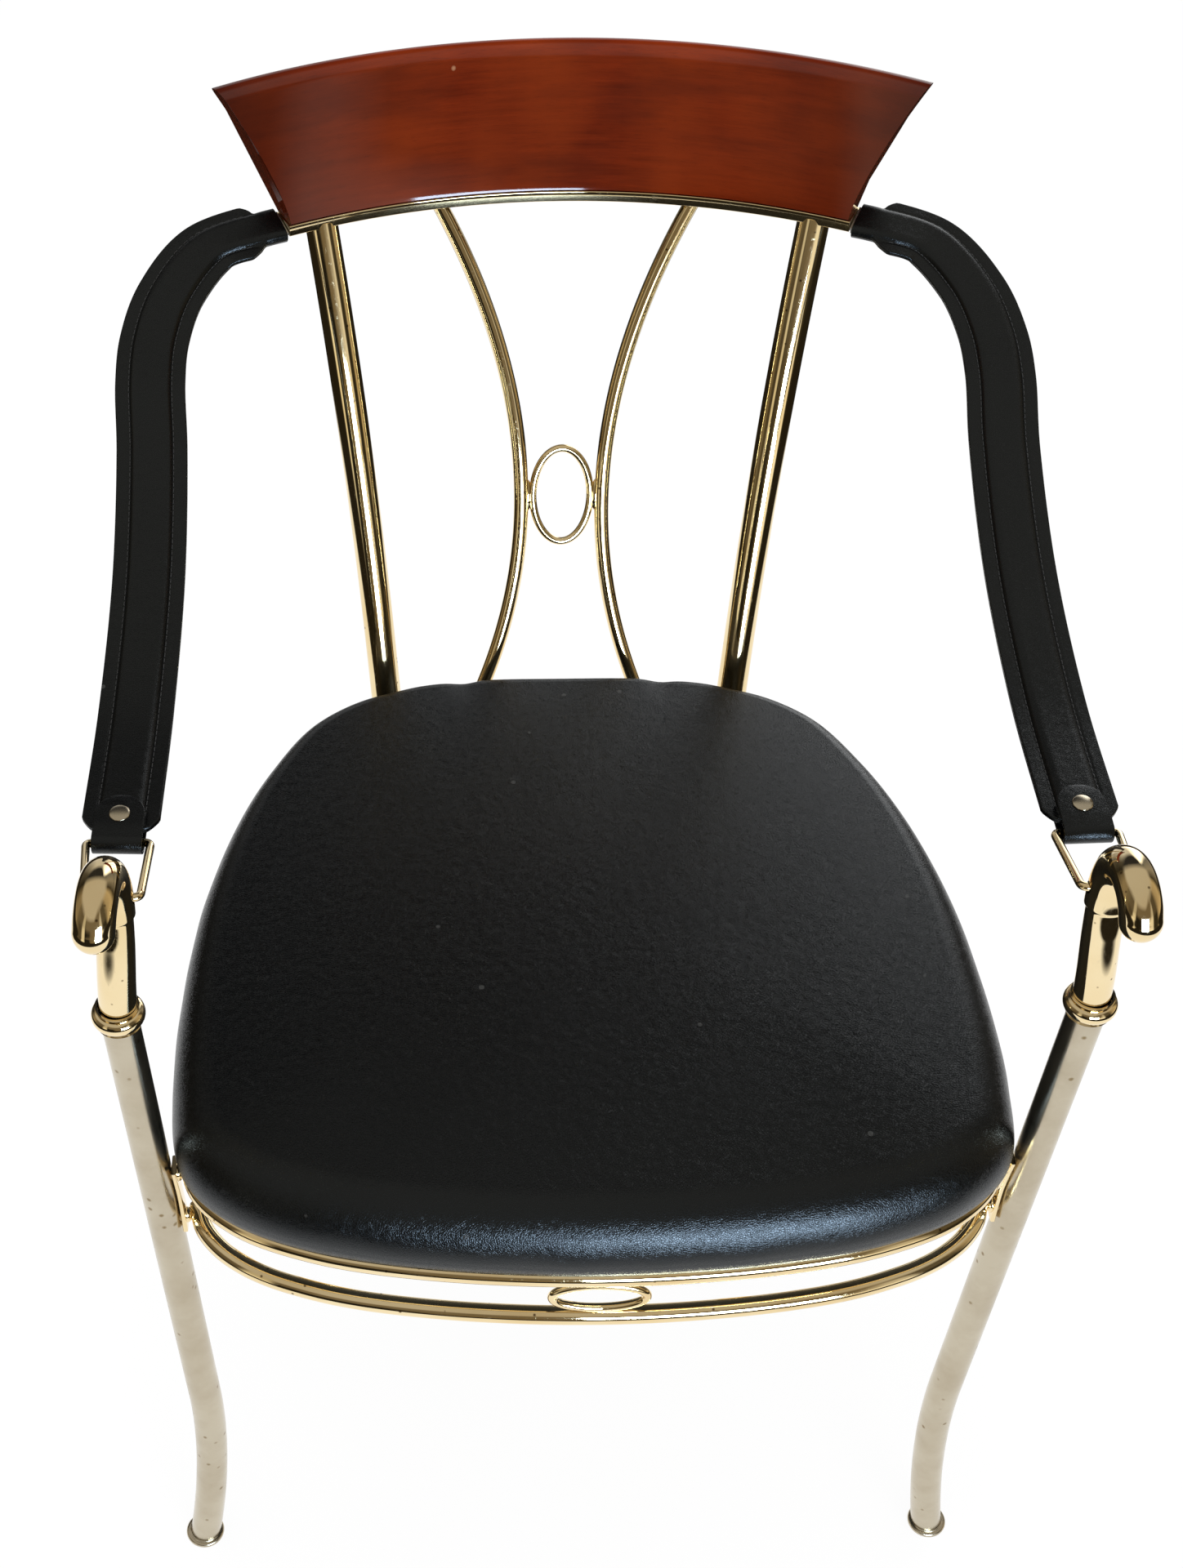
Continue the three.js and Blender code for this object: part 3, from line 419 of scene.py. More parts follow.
def between(tree, value, low, high, out_low=0.0, out_high=1.0):
    """The value mapped from low..high to out_low..out_high and held inside."""
    inputs = {"Value": value, "From Min": low, "From Max": high, "To Min": out_low, "To Max": out_high}
    return add(tree, "MapRange", inputs).outputs["Result"]


def object_place(tree):
    """Place on the piece, in metres."""
    return add(tree, "TexCoord").outputs["Object"]


def raised(tree, height, distance, strength=1.0):
    """Normals of a bump of that height in metres."""
    inputs = {"Height": height, "Distance": distance, "Strength": strength}
    return add(tree, "Bump", inputs).outputs["Normal"]


def new_material(name):
    """A material with an empty Principled shader; returns both and the node tree."""
    material = bpy.data.materials.new(name)
    material.use_nodes = True
    tree = material.node_tree
    return material, tree, tree.nodes["Principled BSDF"]


def new_group(name, inputs, outputs, output_kind="NodeSocketFloat"):
    """An empty node group and its two end nodes; an input without a default is a vector."""
    tree = bpy.data.node_groups.new(name, "ShaderNodeTree")
    for label, value in inputs.items():
        kind = "NodeSocketVector" if value is None else "NodeSocketFloat"
        socket = tree.interface.new_socket(label, in_out="INPUT", socket_type=kind)
        if value is not None:
            socket.default_value = value
    for label in outputs:
        tree.interface.new_socket(label, in_out="OUTPUT", socket_type=output_kind)
    return tree, tree.nodes.new("NodeGroupInput").outputs, tree.nodes.new("NodeGroupOutput")


def use(tree, group, **inputs):
    """The group placed in a material, with its own values."""
    return add(tree, "Group", inputs, node_tree=group).outputs


def make_specks():
    """Small round spots scattered over a surface: near the middle of some cells of a cell pattern."""
    tree, given, out = new_group("specks", {"Place": None, "Cells": 200.0, "Share": 0.2}, ["Mask"])
    cells = add(tree, "TexVoronoi", {"Vector": given["Place"], "Scale": given["Cells"]}).outputs
    spot = between(tree, cells["Distance"], 0.12, 0.3, 1.0, 0.0)
    pick = add(tree, "SeparateColor", {"Color": cells["Color"]}).outputs[0]
    chosen = reckon(tree, "LESS_THAN", pick, given["Share"])
    feed(tree, out, {"Mask": reckon(tree, "MULTIPLY", spot, chosen)})
    return tree


def make_scratches():
    """Fine hairlines: two noises drawn out thin in different directions, kept only at their peaks."""
    tree, given, out = new_group("scratches", {"Place": None, "Fineness": 400.0}, ["Mask"])
    masks = []
    for turn, stretch in (((0.3, 0.9, 0.2), (1, 0.04, 0.3)), ((-0.8, 0.2, 1.1), (0.3, 1, 0.05))):
        lines = noise(tree, given["Place"], given["Fineness"], 3.0, stretch, turn)
        masks.append(between(tree, lines, 0.6, 0.72))
    feed(tree, out, {"Mask": reckon(tree, "MAXIMUM", *masks)})
    return tree


def make_pebble_grain():
    """Leather grain: rounded cells parted by creases, bent by a soft noise, with fine pores."""
    tree, given, out = new_group("pebble_grain", {"Place": None, "Cells": 700.0}, ["Height", "Crease"])
    bend = add(tree, "TexNoise", {"Vector": given["Place"], "Scale": 160.0}).outputs["Color"]
    moved = add(tree, "VectorMath", {0: bend, 1: (0.003, 0.003, 0.003)}, operation="MULTIPLY")
    place = add(tree, "VectorMath", {0: given["Place"], 1: moved.outputs[0]}, operation="ADD")
    inputs = {"Vector": place.outputs[0], "Scale": given["Cells"]}
    edge = add(tree, "TexVoronoi", inputs, feature="DISTANCE_TO_EDGE").outputs["Distance"]
    pores = reckon(tree, "MULTIPLY", noise(tree, given["Place"], 2600.0), 0.25)
    feed(tree, out, {"Height": reckon(tree, "ADD", between(tree, edge, 0.0, 0.22), pores),
                     "Crease": between(tree, edge, 0.0, 0.08, 1.0, 0.0)})
    return tree


SPECKS = make_specks()
SCRATCHES = make_scratches()
PEBBLE_GRAIN = make_pebble_grain()


# Materials, each paired with a slot name

def polished_brass():
    """Mirror polish under lacquer: soft amber clouds, hairlines in the gloss and a few dark pits."""
    material, tree, shader = new_material("polished_brass")
    place = object_place(tree)
    clouds = noise(tree, place, 14.0, 4.0)
    tint = between(tree, clouds, 0.35, 0.7)
    gold = blend(tree, tint, (0.90, 0.745, 0.46, 1), (0.80, 0.61, 0.32, 1))
    pits = use(tree, SPECKS, Place=place, Cells=260.0, Share=0.05)["Mask"]
    lines = use(tree, SCRATCHES, Place=place, Fineness=900.0)["Mask"]
    feed(tree, shader, {
        "Base Color": blend(tree, pits, gold, (0.16, 0.10, 0.04, 1)),
        "Roughness": between(tree, lines, 0.0, 1.0, 0.045, 0.13),
        "Normal": raised(tree, clouds, 0.0004, 0.12),
        "Metallic": 1.0, "Coat Weight": 0.25, "Coat Roughness": 0.08})
    return material


def satin_brass():
    """Pale rubbed brass of the front legs: brush lines up and down, worn patches, brown specks."""
    material, tree, shader = new_material("satin_brass")
    place = object_place(tree)
    brush = noise(tree, place, 1500.0, 3.0, (1, 1, 0.03))
    patches = noise(tree, place, 22.0, 5.0, Roughness=0.6)
    worn = between(tree, patches, 0.4, 0.68)
    pale = blend(tree, worn, (0.545, 0.485, 0.370, 1), (0.465, 0.400, 0.290, 1))
    specks = use(tree, SPECKS, Place=place, Cells=150.0, Share=0.13)["Mask"]
    feed(tree, shader, {
        "Base Color": blend(tree, specks, pale, (0.26, 0.19, 0.10, 1)),
        "Roughness": between(tree, patches, 0.3, 0.7, 0.16, 0.27),
        "Normal": raised(tree, brush, 0.00005, 0.5), "Metallic": 1.0})
    return material


def lacquered_mahogany():
    """Red-brown mahogany under a thick gloss coat. Each layer turns the colour so far towards its
    own: grain drawn out along the rail, ribbon bands across it, pores, soft dark clouds, painted
    shade that darkens both ends, and a few pale chips. Reads the piece's own place along the rail."""
    material, tree, shader = new_material("lacquered_mahogany")
    place = add(tree, "Attribute", attribute_name="along").outputs["Vector"]
    grain = noise(tree, place, 3.0, 6.0, (6, 60, 90), Roughness=0.62)
    ribbon = noise(tree, place, 1.6, 2.0, (7, 9, 5))
    pores = noise(tree, place, 2.0, 3.0, (60, 900, 900))
    cloud = noise(tree, place, 1.3, 3.0, (9, 20, 30))
    along = add(tree, "SeparateXYZ", {"Vector": place}).outputs["X"]
    shaded_end_reach = reckon(tree, "ABSOLUTE", along)
    chips = use(tree, SPECKS, Place=place, Cells=52.0, Share=0.035)["Mask"]
    colour = (0.085, 0.0075, 0.0012, 1)
    for value, low, high, most, layer in (  # what it follows, from, to, how far, colour
            (grain, 0.32, 0.68, 1.0, (0.150, 0.0150, 0.0024, 1)),
            (ribbon, 0.35, 0.65, 0.7, (0.210, 0.028, 0.0042, 1)),
            (pores, 0.56, 0.7, 0.3, (0.050, 0.006, 0.002, 1)),
            (cloud, 0.48, 0.66, 0.4, (0.055, 0.007, 0.003, 1)),
            # painted shade: the colour darkens towards both ends of the rail, in place of the shade that
            # falls there
            (shaded_end_reach, 0.11, 0.24, 0.78, (0.018, 0.0038, 0.003, 1)),
            (chips, 0.75, 1.0, 1.0, (0.50, 0.27, 0.15, 1))):
        colour = blend(tree, between(tree, value, low, high, 0.0, most), colour, layer)
    feed(tree, shader, {
        "Base Color": colour, "Roughness": between(tree, pores, 0.3, 0.7, 0.32, 0.44),
        "Normal": raised(tree, ribbon, 0.003, 0.2), "Specular IOR Level": 0.0,
        "Coat Weight": 0.75, "Coat Roughness": 0.06, "Coat IOR": 1.5})
    return material


def black_leather(name, cells, depth, base):
    """Black leather: pebble grain, greyer rubbed highs, a little lint, creases a little duller."""
    material, tree, shader = new_material(name)
    place = object_place(tree)
    grain = use(tree, PEBBLE_GRAIN, Place=place, Cells=cells)
    rubbed = between(tree, noise(tree, place, 9.0, 5.0), 0.4, 0.75)
    worn = tuple(1.8 * value for value in base[:3]) + (1,)
    colour = blend(tree, rubbed, base, worn)
    lint = use(tree, SPECKS, Place=place, Cells=75.0, Share=0.03)["Mask"]
    dusty = between(tree, lint, 0.85, 1.0, 0.0, 0.12)
    feed(tree, shader, {
        "Base Color": blend(tree, dusty, colour, (0.2, 0.2, 0.19, 1)),
        "Roughness": between(tree, grain["Crease"], 0.0, 1.0, 0.24, 0.36),
        "Normal": raised(tree, grain["Height"], depth),
        "Specular IOR Level": 0.36, "Specular Tint": (0.88, 0.96, 1.0, 1)})
    return material


def plain_steel():
    """Zinc-plated steel with a mottled gloss."""
    material, tree, shader = new_material("plain_steel")
    mottle = noise(tree, object_place(tree), 300.0, 4.0)
    tint = between(tree, mottle, 0.35, 0.65)
    feed(tree, shader, {
        "Base Color": blend(tree, tint, (0.42, 0.43, 0.45, 1), (0.55, 0.55, 0.54, 1)),
        "Roughness": between(tree, mottle, 0.3, 0.7, 0.25, 0.45), "Metallic": 1.0})
    return material


def two_tone(name, pattern, span, colours, depth, roughness):
    """A matt material whose colour and height follow one pattern: its values over the span turn
    the first colour into the second; depth is the bump's distance and strength."""
    material, tree, shader = new_material(name)
    height = pattern(tree, object_place(tree))
    feed(tree, shader, {
        "Base Color": blend(tree, between(tree, height, *span), *colours),
        "Normal": raised(tree, height, *depth), "Roughness": roughness})
    return material


def long_grain(tree, place):
    """Bare plywood's soft figure, drawn out along the board."""
    return noise(tree, place, 2.0, 6.0, (60, 4, 60))


def foam_cells(tree, place):
    """Tiny open cells."""
    return add(tree, "TexVoronoi", {"Vector": place, "Scale": 900.0}).outputs["Distance"]


def thread_twist(tree, place):
    """Two plies twisted together, as a slanted wave."""
    inputs = {"Vector": place, "Scale": 900.0}
    return add(tree, "TexWave", inputs, bands_direction="DIAGONAL").outputs["Fac"]


BRASS = (polished_brass(), "brass")
SATIN = (satin_brass(), "satin_brass")
MAHOGANY = (lacquered_mahogany(), "mahogany")
SEAT_LEATHER = (black_leather("seat_leather", 820.0, 0.00006, (0.0008, 0.0008, 0.0009, 1)), "leather")
STRAP_LEATHER = (black_leather("strap_leather", 950.0, 0.00004, (0.0009, 0.0009, 0.0009, 1)), "leather")
STEEL = (plain_steel(), "steel")
PLYWOOD = (two_tone("birch_plywood", long_grain, (0.3, 0.7),
                    ((0.60, 0.44, 0.27, 1), (0.40, 0.26, 0.13, 1)), (0.0003, 0.4), 0.75), "plywood")
FOAM = (two_tone("pale_foam", foam_cells, (0.1, 0.6),
                 ((0.62, 0.55, 0.36, 1), (0.78, 0.72, 0.52, 1)), (0.0005, 1.0), 0.95), "foam")
THREAD = (two_tone("waxed_thread", thread_twist, (0.0, 1.0),
                   ((0.012, 0.012, 0.012, 1), (0.05, 0.05, 0.05, 1)), (0.0001, 1.0), 0.5), "leather")


# Places that follow from the sizes and the frame

def middle_of(node):
    """Middle of a CAD solid's box."""
    low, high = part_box(node)
    return (np.array(low) + np.array(high)) / 2


LEG_LINE = middle_of("right_front_glide")[1] + FOOT_FORWARD
SEAT_FRONT = LEG_LINE - SEAT_FRONT_LEAD
SEAT_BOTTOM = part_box("seat_cover")[0].z


def seat_outline(inset=0.0, count=360):
    """Closed curve through the plan's points, moved inwards along its own normal by inset; a list
    of insets gives one line for each, and a table of them one place for each."""
    half = np.array(SEAT_SHARES) * (SEAT_HALF, SEAT_DEPTH) + (0, SEAT_FRONT)
    plan = curve_through(np.vstack([half, half[-2:0:-1] * (-1, 1)]), count, closed=True)
    along = direction(plan, closed=True)
    inward = np.stack([-along[:, 1], along[:, 0]], 1)
    inset = np.asarray(inset, float)
    if inset.ndim < 2:
        inset = inset[..., None]
    return plan + inset[..., None] * inward


def lifted(plan, height):
    """A flat line at a height."""
    return np.concatenate([plan, np.full((*plan.shape[:-1], 1), height)], -1)


HOOP_INSET = seat_outline()[:, 0].max() - (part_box("seat_hoop")[1].x - HOOP_RADIUS)
RAIL_END_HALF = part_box("front_rail")[1].x - HOOP_RADIUS
LEG_SLOPE = (LEG_TOP_HALF - KNEE_HALF) / (LEG_TOP - KNEE_HEIGHT)
RAIL_INSET = HOOP_INSET + LEG_SLOPE * (HOOP_HEIGHT - RAIL_HEIGHT)
ARC_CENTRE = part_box("crest_band")[1].y - BAND_DEPTH - CREST_RADIUS
BAND_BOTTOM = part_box("crest_band")[0].z
CREST_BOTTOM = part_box("crest_rail")[0].z


def behind_hoop(x, radius):
    """How far back a leaning tube of that radius stands so that it just clears the hoop at x."""
    tilt = np.arctan(POST_RAKE / (POST_TOP - HOOP_HEIGHT))
    reach = (HOOP_RADIUS + GAP + radius) / np.cos(tilt)
    plan = seat_outline(HOOP_INSET, 720)
    near = plan[(np.abs(plan[:, 0] - x) < reach) & (plan[:, 1] > 0)]
    return (near[:, 1] + np.sqrt(reach**2 - (near[:, 0] - x)**2)).max()


POST_SEAT_Y = behind_hoop(POST_SEAT_HALF, LEG_RADIUS)


def leg_half(z):
    """Half distance between the front legs above the knee: a straight lean."""
    return KNEE_HALF + LEG_SLOPE * (z - KNEE_HEIGHT)


def band_arc(x, depth=0.0):
    """y of the crest's arc in plan at x, moved back by depth."""
    return ARC_CENTRE + np.sqrt((CREST_RADIUS + depth)**2 - x**2)


# Legs and feet

def front_leg(name, side):
    """Straight lean above the knee; below it the foot curves out and forward by a power of the depth."""
    z = np.linspace(GLIDE_HEIGHT + GAP, LEG_TOP, 90)
    bend = np.clip((KNEE_HEIGHT - z) / KNEE_HEIGHT, 0, None) ** FOOT_BEND_POWER
    path = np.stack([side * (leg_half(z) + FOOT_FLARE * bend), LEG_LINE - FOOT_FORWARD * bend, z], 1)
    make_tube(f"{name}_front_leg_tube", path, LEG_RADIUS, LEG_SIDES, (0, 1, 0), SATIN, [f"{name}_front_leg"])


def rear_leg(name, side):
    """Straight rake from the band to the hoop with a slight bow inwards, then a sweep back to the foot."""
    share = np.linspace(1, 0, 10)
    bow = POST_BOW * 4 * share * (1 - share)
    upper = np.stack([side * (POST_SEAT_HALF + (POST_TOP_HALF - POST_SEAT_HALF) * share - bow),
                      POST_SEAT_Y + POST_RAKE * share,
                      HOOP_HEIGHT + (POST_TOP - HOOP_HEIGHT) * share], 1)
    share = np.linspace(0, 1, 7)
    lead = (HOOP_HEIGHT - REAR_SWEEP_HEIGHT) * POST_RAKE / (POST_TOP - HOOP_HEIGHT) * REAR_LEAD_SHARE
    splay = (REAR_FOOT_HALF - POST_SEAT_HALF) * share**REAR_SPLAY_POWER
    lower = np.stack([side * (POST_SEAT_HALF + splay),
                      POST_SEAT_Y - lead + REAR_SWEEP * share**REAR_SWEEP_POWER,
                      REAR_SWEEP_HEIGHT * (1 - share) + (GLIDE_HEIGHT + GAP) * share], 1)
    path = curve_through(np.vstack([upper, lower]), 150)
    make_tube(f"{name}_rear_leg_tube", path, LEG_RADIUS, LEG_SIDES, (0, 1, 0), BRASS, [f"{name}_rear_leg"])


def glide(name):
    """Flat disc with a rounded rim, and a weld bead where the tube stands on it."""
    centre = middle_of(name) * (1, 1, 0)
    turn = np.linspace(-np.pi / 2, np.pi / 2, 9)
    rim = np.stack([GLIDE_RADIUS - GLIDE_HEIGHT / 2 * (1 - np.cos(turn)),
                    GLIDE_HEIGHT / 2 * (1 + np.sin(turn))], 1)
    profile = np.vstack([[0, 0], rim, [0, GLIDE_HEIGHT]])
    make_piece(f"{name}_disc", turned(profile, centre), SATIN, [name])
    turn = np.linspace(0, 2 * np.pi, 12, endpoint=False)
    bead = np.stack([LEG_RADIUS - FOOT_BEAD / 2 + FOOT_BEAD * np.cos(turn),
                     GLIDE_HEIGHT + FOOT_BEAD * np.sin(turn)], 1)
    make_piece(f"{name}_weld", turned(bead, centre), SATIN, ring=True)


for name, side in SIDES:
    front_leg(name, side)
    rear_leg(name, side)
    glide(f"{name}_front_glide")
    glide(f"{name}_rear_glide")


# Hoop, front rail, brackets and welds

def seat_hoop():
    """Tube round the seat's plan line, drawn in by the hoop's inset."""
    path = lifted(seat_outline(HOOP_INSET), HOOP_HEIGHT)
    make_tube("seat_hoop_tube", path, HOOP_RADIUS, ROD_SIDES, (0, 0, 1), BRASS, ["seat_hoop"], closed=True)


def front_rail():
    """The seat's plan line again, but open, ending in front of the brackets."""
    plan = seat_outline(RAIL_INSET)
    reach = LEG_LINE + BRACKET_WIDTH / 2
    half = plan[(plan[:, 1] < reach) & (plan[:, 0] >= 0)]
    half = half[np.argsort(half[:, 0] + half[:, 1])]
    end = np.array([[RAIL_END_HALF, reach]])
    route = np.vstack([end * (-1, 1), half[:0:-1] * (-1, 1), half, end])
    path = curve_through(lifted(even_steps(route, 30), RAIL_HEIGHT), 200)
    make_tube("front_rail_tube", path, HOOP_RADIUS, ROD_SIDES, (0, 0, 1), BRASS, ["front_rail"])


def leg_bracket(name, side):
    """Upright plate between the leg and the two loops, whose width grows from the waist by a power
    of the height."""
    high = (HOOP_HEIGHT - RAIL_HEIGHT) / 2 + BRACKET_OVERLAP
    v = np.linspace(-1, 1, 40)
    half = (BRACKET_WAIST + (BRACKET_WIDTH - BRACKET_WAIST) * np.abs(v)**BRACKET_WAIST_POWER) / 2
    z = (HOOP_HEIGHT + RAIL_HEIGHT) / 2 + v * high
    lean = np.sqrt(1 + LEG_SLOPE**2)
    x = side * (leg_half(z) - LEG_RADIUS * lean - GAP - BRACKET_THICKNESS / 2)
    path = np.stack([x, np.full_like(z, LEG_LINE), z], 1)
    plate = carried(path, rounded_bar(BRACKET_THICKNESS / 2, half, BRACKET_CORNER), (0, 1, 0))
    make_piece(f"{name}_bracket_plate", plate, BRASS, [f"{name}_leg_bracket"])


def weld(name, spot, size, along=(0, 0, 1)):
    """A smooth bead of metal: an ellipsoid turned so that its third size lies along a direction."""
    angle = np.linspace(0, np.pi, 17)
    ball = turned(np.stack([np.sin(angle), np.cos(angle)], 1), (0, 0, 0), 24) * size
    up = unit(np.asarray(along, float))
    across = unit(np.cross(up, (0.0, 1.0, 0.02)))
    grid = place_on(ball, across, np.cross(up, across), up, np.asarray(spot, float))
    make_piece(name, grid, BRASS)


seat_hoop()
front_rail()
for name, side in SIDES:
    leg_bracket(name, side)
    for part, height in (("hoop", HOOP_HEIGHT), ("rail", RAIL_HEIGHT)):
        x = side * (leg_half(height) - LEG_RADIUS - BRACKET_THICKNESS)
        weld(f"{name}_{part}_weld", (x, LEG_LINE, height), BRACKET_WELD)


# Splat and ovals

SPLAT_FOOT = HOOP_HEIGHT - HOOP_RADIUS
SPLAT_TOP_Y = band_arc(SPLAT_TOP_HALF, 0) + BAND_DEPTH / 2
SPLAT_FOOT_Y = behind_hoop(SPLAT_FOOT_HALF, ROD_RADIUS)


def splat_place(side, z):
    """Two parabolas meeting at the waist, on a straight lean from the hoop to the band."""
    low = ((WAIST_HEIGHT - z) / (WAIST_HEIGHT - SPLAT_FOOT)).clip(0)
    high = ((z - WAIST_HEIGHT) / (POST_TOP - WAIST_HEIGHT)).clip(0)
    half = WAIST_HALF + (SPLAT_FOOT_HALF - WAIST_HALF) * low**2 + (SPLAT_TOP_HALF - WAIST_HALF) * high**2
    y = SPLAT_FOOT_Y + (SPLAT_TOP_Y - SPLAT_FOOT_Y) * (z - SPLAT_FOOT) / (POST_TOP - SPLAT_FOOT)
    return np.stack([side * half, y, z], -1)


def splat_rod(name, side):
    """Round rod along the splat's line, from the hoop to the band."""
    path = splat_place(side, np.linspace(SPLAT_FOOT, POST_TOP, 140))
    make_tube(f"{name}_splat_bar", path, ROD_RADIUS, ROD_SIDES, (0, 1, 0), BRASS, [f"{name}_splat_rod"])


def oval(name, centre, half_width, half_height, upright, stands_for):
    """Ring of wire round an ellipse: centre + a cos t * X + b sin t * upright."""
    t = np.linspace(0, 2 * np.pi, 120, endpoint=False)[:, None]
    upright = unit(np.asarray(upright, float))
    path = centre + half_width * np.cos(t) * np.array([1, 0, 0]) + half_height * np.sin(t) * upright
    lean = np.cross((1, 0, 0), upright)
    make_tube(name, path, OVAL_WIRE, WIRE_SIDES, lean, BRASS, [stands_for], closed=True)


for name, side in SIDES:
    splat_rod(name, side)
back_centre = splat_place(0, np.array(BACK_OVAL_HEIGHT))
back_upright = splat_place(0, np.array(POST_TOP)) - splat_place(0, np.array(SPLAT_FOOT))
back_half = WAIST_HALF - ROD_RADIUS - GAP - OVAL_WIRE
oval("back_oval_wire", back_centre, back_half, BACK_OVAL_HALF_HEIGHT, back_upright, "back_oval")
for name, side in SIDES:
    spot = splat_place(side, np.array(BACK_OVAL_HEIGHT)) * (BACK_OVAL_WELD_SHARE, 1, 1)
    weld(f"{name}_oval_weld", spot, BACK_OVAL_WELD, back_upright)

front_upright = np.array([0, HOOP_INSET - RAIL_INSET, HOOP_HEIGHT - RAIL_HEIGHT])
front_centre = np.array([0, SEAT_FRONT + (HOOP_INSET + RAIL_INSET) / 2, (HOOP_HEIGHT + RAIL_HEIGHT) / 2])
front_half_height = np.linalg.norm(front_upright) / 2 - HOOP_RADIUS - GAP - OVAL_WIRE
oval("front_oval_wire", front_centre, FRONT_OVAL_HALF_WIDTH, front_half_height, front_upright, "front_oval")
for name, way in (("upper", 1), ("lower", -1)):
    spot = front_centre + way * unit(front_upright) * (front_half_height + OVAL_WIRE * FRONT_OVAL_WELD_SHARE)
    weld(f"front_oval_{name}_weld", spot, FRONT_OVAL_WELD)


# Band, crest and screws

def crest_band():
    """Flat bar with softened edges bent round the crest's arc."""
    reach = np.arcsin(BAND_HALF / CREST_RADIUS)
    angle = np.linspace(-reach, reach, 120)
    radius = CREST_RADIUS + BAND_DEPTH / 2
    path = np.stack([radius * np.sin(angle), ARC_CENTRE + radius * np.cos(angle),
                     np.full_like(angle, BAND_BOTTOM + BAND_HEIGHT / 2)], 1)
    bar = carried(path, rounded_bar(BAND_DEPTH / 2, BAND_HEIGHT / 2, BAND_CORNER), (0, 0, 1))
    make_piece("crest_band_bar", bar, BRASS, ["crest_band"])


def crest_rail():
    """Board bent round an arc: angle and height are the two directions. Its ends flare and it
    leans back with height, and its section is a tall bar with small corners below and half an
    ellipse on top."""
    turn = np.linspace(0, np.pi / 2, 7)[:, None]
    low = CREST_CORNER + np.concatenate([-np.sin(turn), -np.cos(turn)], 1) * CREST_CORNER
    turn = np.linspace(0, np.pi, 25)[:, None]
    top = np.concatenate([0.5 - 0.5 * np.cos(turn), np.sin(turn)], 1) * (BAND_DEPTH, CREST_ROUND)
    section = np.vstack([low, top + (0, CREST_HEIGHT - CREST_ROUND), (low * (-1, 1) + (BAND_DEPTH, 0))[::-1]])
    section = even_steps(np.vstack([section, section[:1]]), 150, closed=True)
    deep = section[:, 0] / BAND_DEPTH
    high = section[:, 1] / CREST_HEIGHT
    share = np.linspace(-1, 1, 161)[:, None]
    half = BAND_HALF + CREST_FLARE * high**CREST_FLARE_POWER
    depth = BAND_DEPTH + (CREST_TOP_DEPTH - BAND_DEPTH) * high
    end_round = CREST_CORNER * (1 - np.sqrt((1 - np.abs(share)**CREST_END_POWER).clip(0)))
    angle = share * (np.arcsin(half / CREST_RADIUS) - end_round / CREST_RADIUS)
    radius = CREST_RADIUS + depth * deep
    lean = CREST_LEAN * high * (1 - CREST_LEAN_CURVE_SHARE * (1 - high))
    z = np.broadcast_to(CREST_BOTTOM + CREST_HEIGHT * high, angle.shape)
    grid = np.stack([radius * np.sin(angle), ARC_CENTRE + radius * np.cos(angle) + lean, z], -1)
    arc = angle * CREST_RADIUS
    place = np.stack([arc, np.broadcast_to(depth * deep, arc.shape), z], -1)
    make_piece("crest_board", grid, MAHOGANY, ["crest_rail"], sharp=30, along=place)


def slotted_screw(node, finish):
    """Domed head with a straight slot, on a plain shank: the dome's grid is cut off level inside
    the slot's width."""
    low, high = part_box(node)
    centre = middle_of(node)
    radius = (high.x - low.x) / 2
    length = high.z - low.z - SCREW_DOME
    turn = np.linspace(0, np.pi / 2, 8)
    head = np.stack([radius * np.sin(turn), -SCREW_DOME * np.cos(turn)], 1)
    profile = np.vstack([head, [SCREW_SHANK, 0], [SCREW_SHANK, length], [0, length]])
    grid = turned(profile, (centre[0], centre[1], low.z + SCREW_DOME), 32)
    bed = low.z + SCREW_SLOT
    dome = (grid[..., 2] < bed) & (np.abs(grid[..., 1] - centre[1]) < SCREW_SLOT_HALF)
    grid[..., 2] = np.where(dome, bed, grid[..., 2])
    make_piece(f"{node}_head", grid, finish, [node])


def dress(node, finish):
    """Gives a CAD solid its material."""
    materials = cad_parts[node].data.materials
    materials.clear()
    materials.append(finish[0])


crest_band()
crest_rail()
for number in (1, 2, 3):
    slotted_screw(f"crest_screw_{number}", BRASS)
for number in (1, 2, 3, 4):
    slotted_screw(f"seat_screw_{number}", STEEL)
    dress(f"seat_lug_{number}", BRASS)
dress("seat_board", PLYWOOD)
dress("seat_foam", FOAM)
dress("left_arm_core", STEEL)
dress("right_arm_core", STEEL)


# Seat pad

def pad_rings(foot, skin=0.0):
    """Rings of the pad, or of a filling that lies a skin inside it: up the foot, then over the
    roll as a quarter of an ellipse, inset = width (1 - cos), height = rise sin, wider in front
    than behind. The rings of the top are the last one scaled towards the middle and raised by a
    power of the scale for the crown."""
    turn = np.radians(np.linspace(0, PAD_ROLL_END_DEGREES, 40))[:, None]
    ahead = (1 - (seat_outline(0, PAD_COLUMNS)[:, 1] - SEAT_FRONT) / SEAT_DEPTH).clip(0, 1)
    width = PAD_ROLL_BACK + (PAD_ROLL_FRONT - PAD_ROLL_BACK) * ahead**2 * (3 - 2 * ahead)
    inset = np.concatenate([foot[:, :1] + 0 * width, skin + width * (1 - np.cos(turn))])
    rise = (PAD_ROLL_HEIGHT - skin) * np.sin(turn)
    height = np.concatenate([foot[:, 1:] + 0 * width, PAD_ROLL_START + rise + 0 * width])
    rings = lifted(seat_outline(inset, PAD_COLUMNS), 0)
    rings[..., 2] = SEAT_BOTTOM + height
    share = np.cos(np.linspace(0, np.pi / 2, 90))[1:, None, None]
    middle = np.array([0, SEAT_FRONT + SEAT_DEPTH / 2, 0])
    crown = (rings[-1] * (1, 1, 0) - middle) * share + middle
    crown[..., 2] = rings[-1, 0, 2] + PAD_CROWN * (1 - share[..., 0]**PAD_CROWN_POWER)
    return np.concatenate([rings, crown])


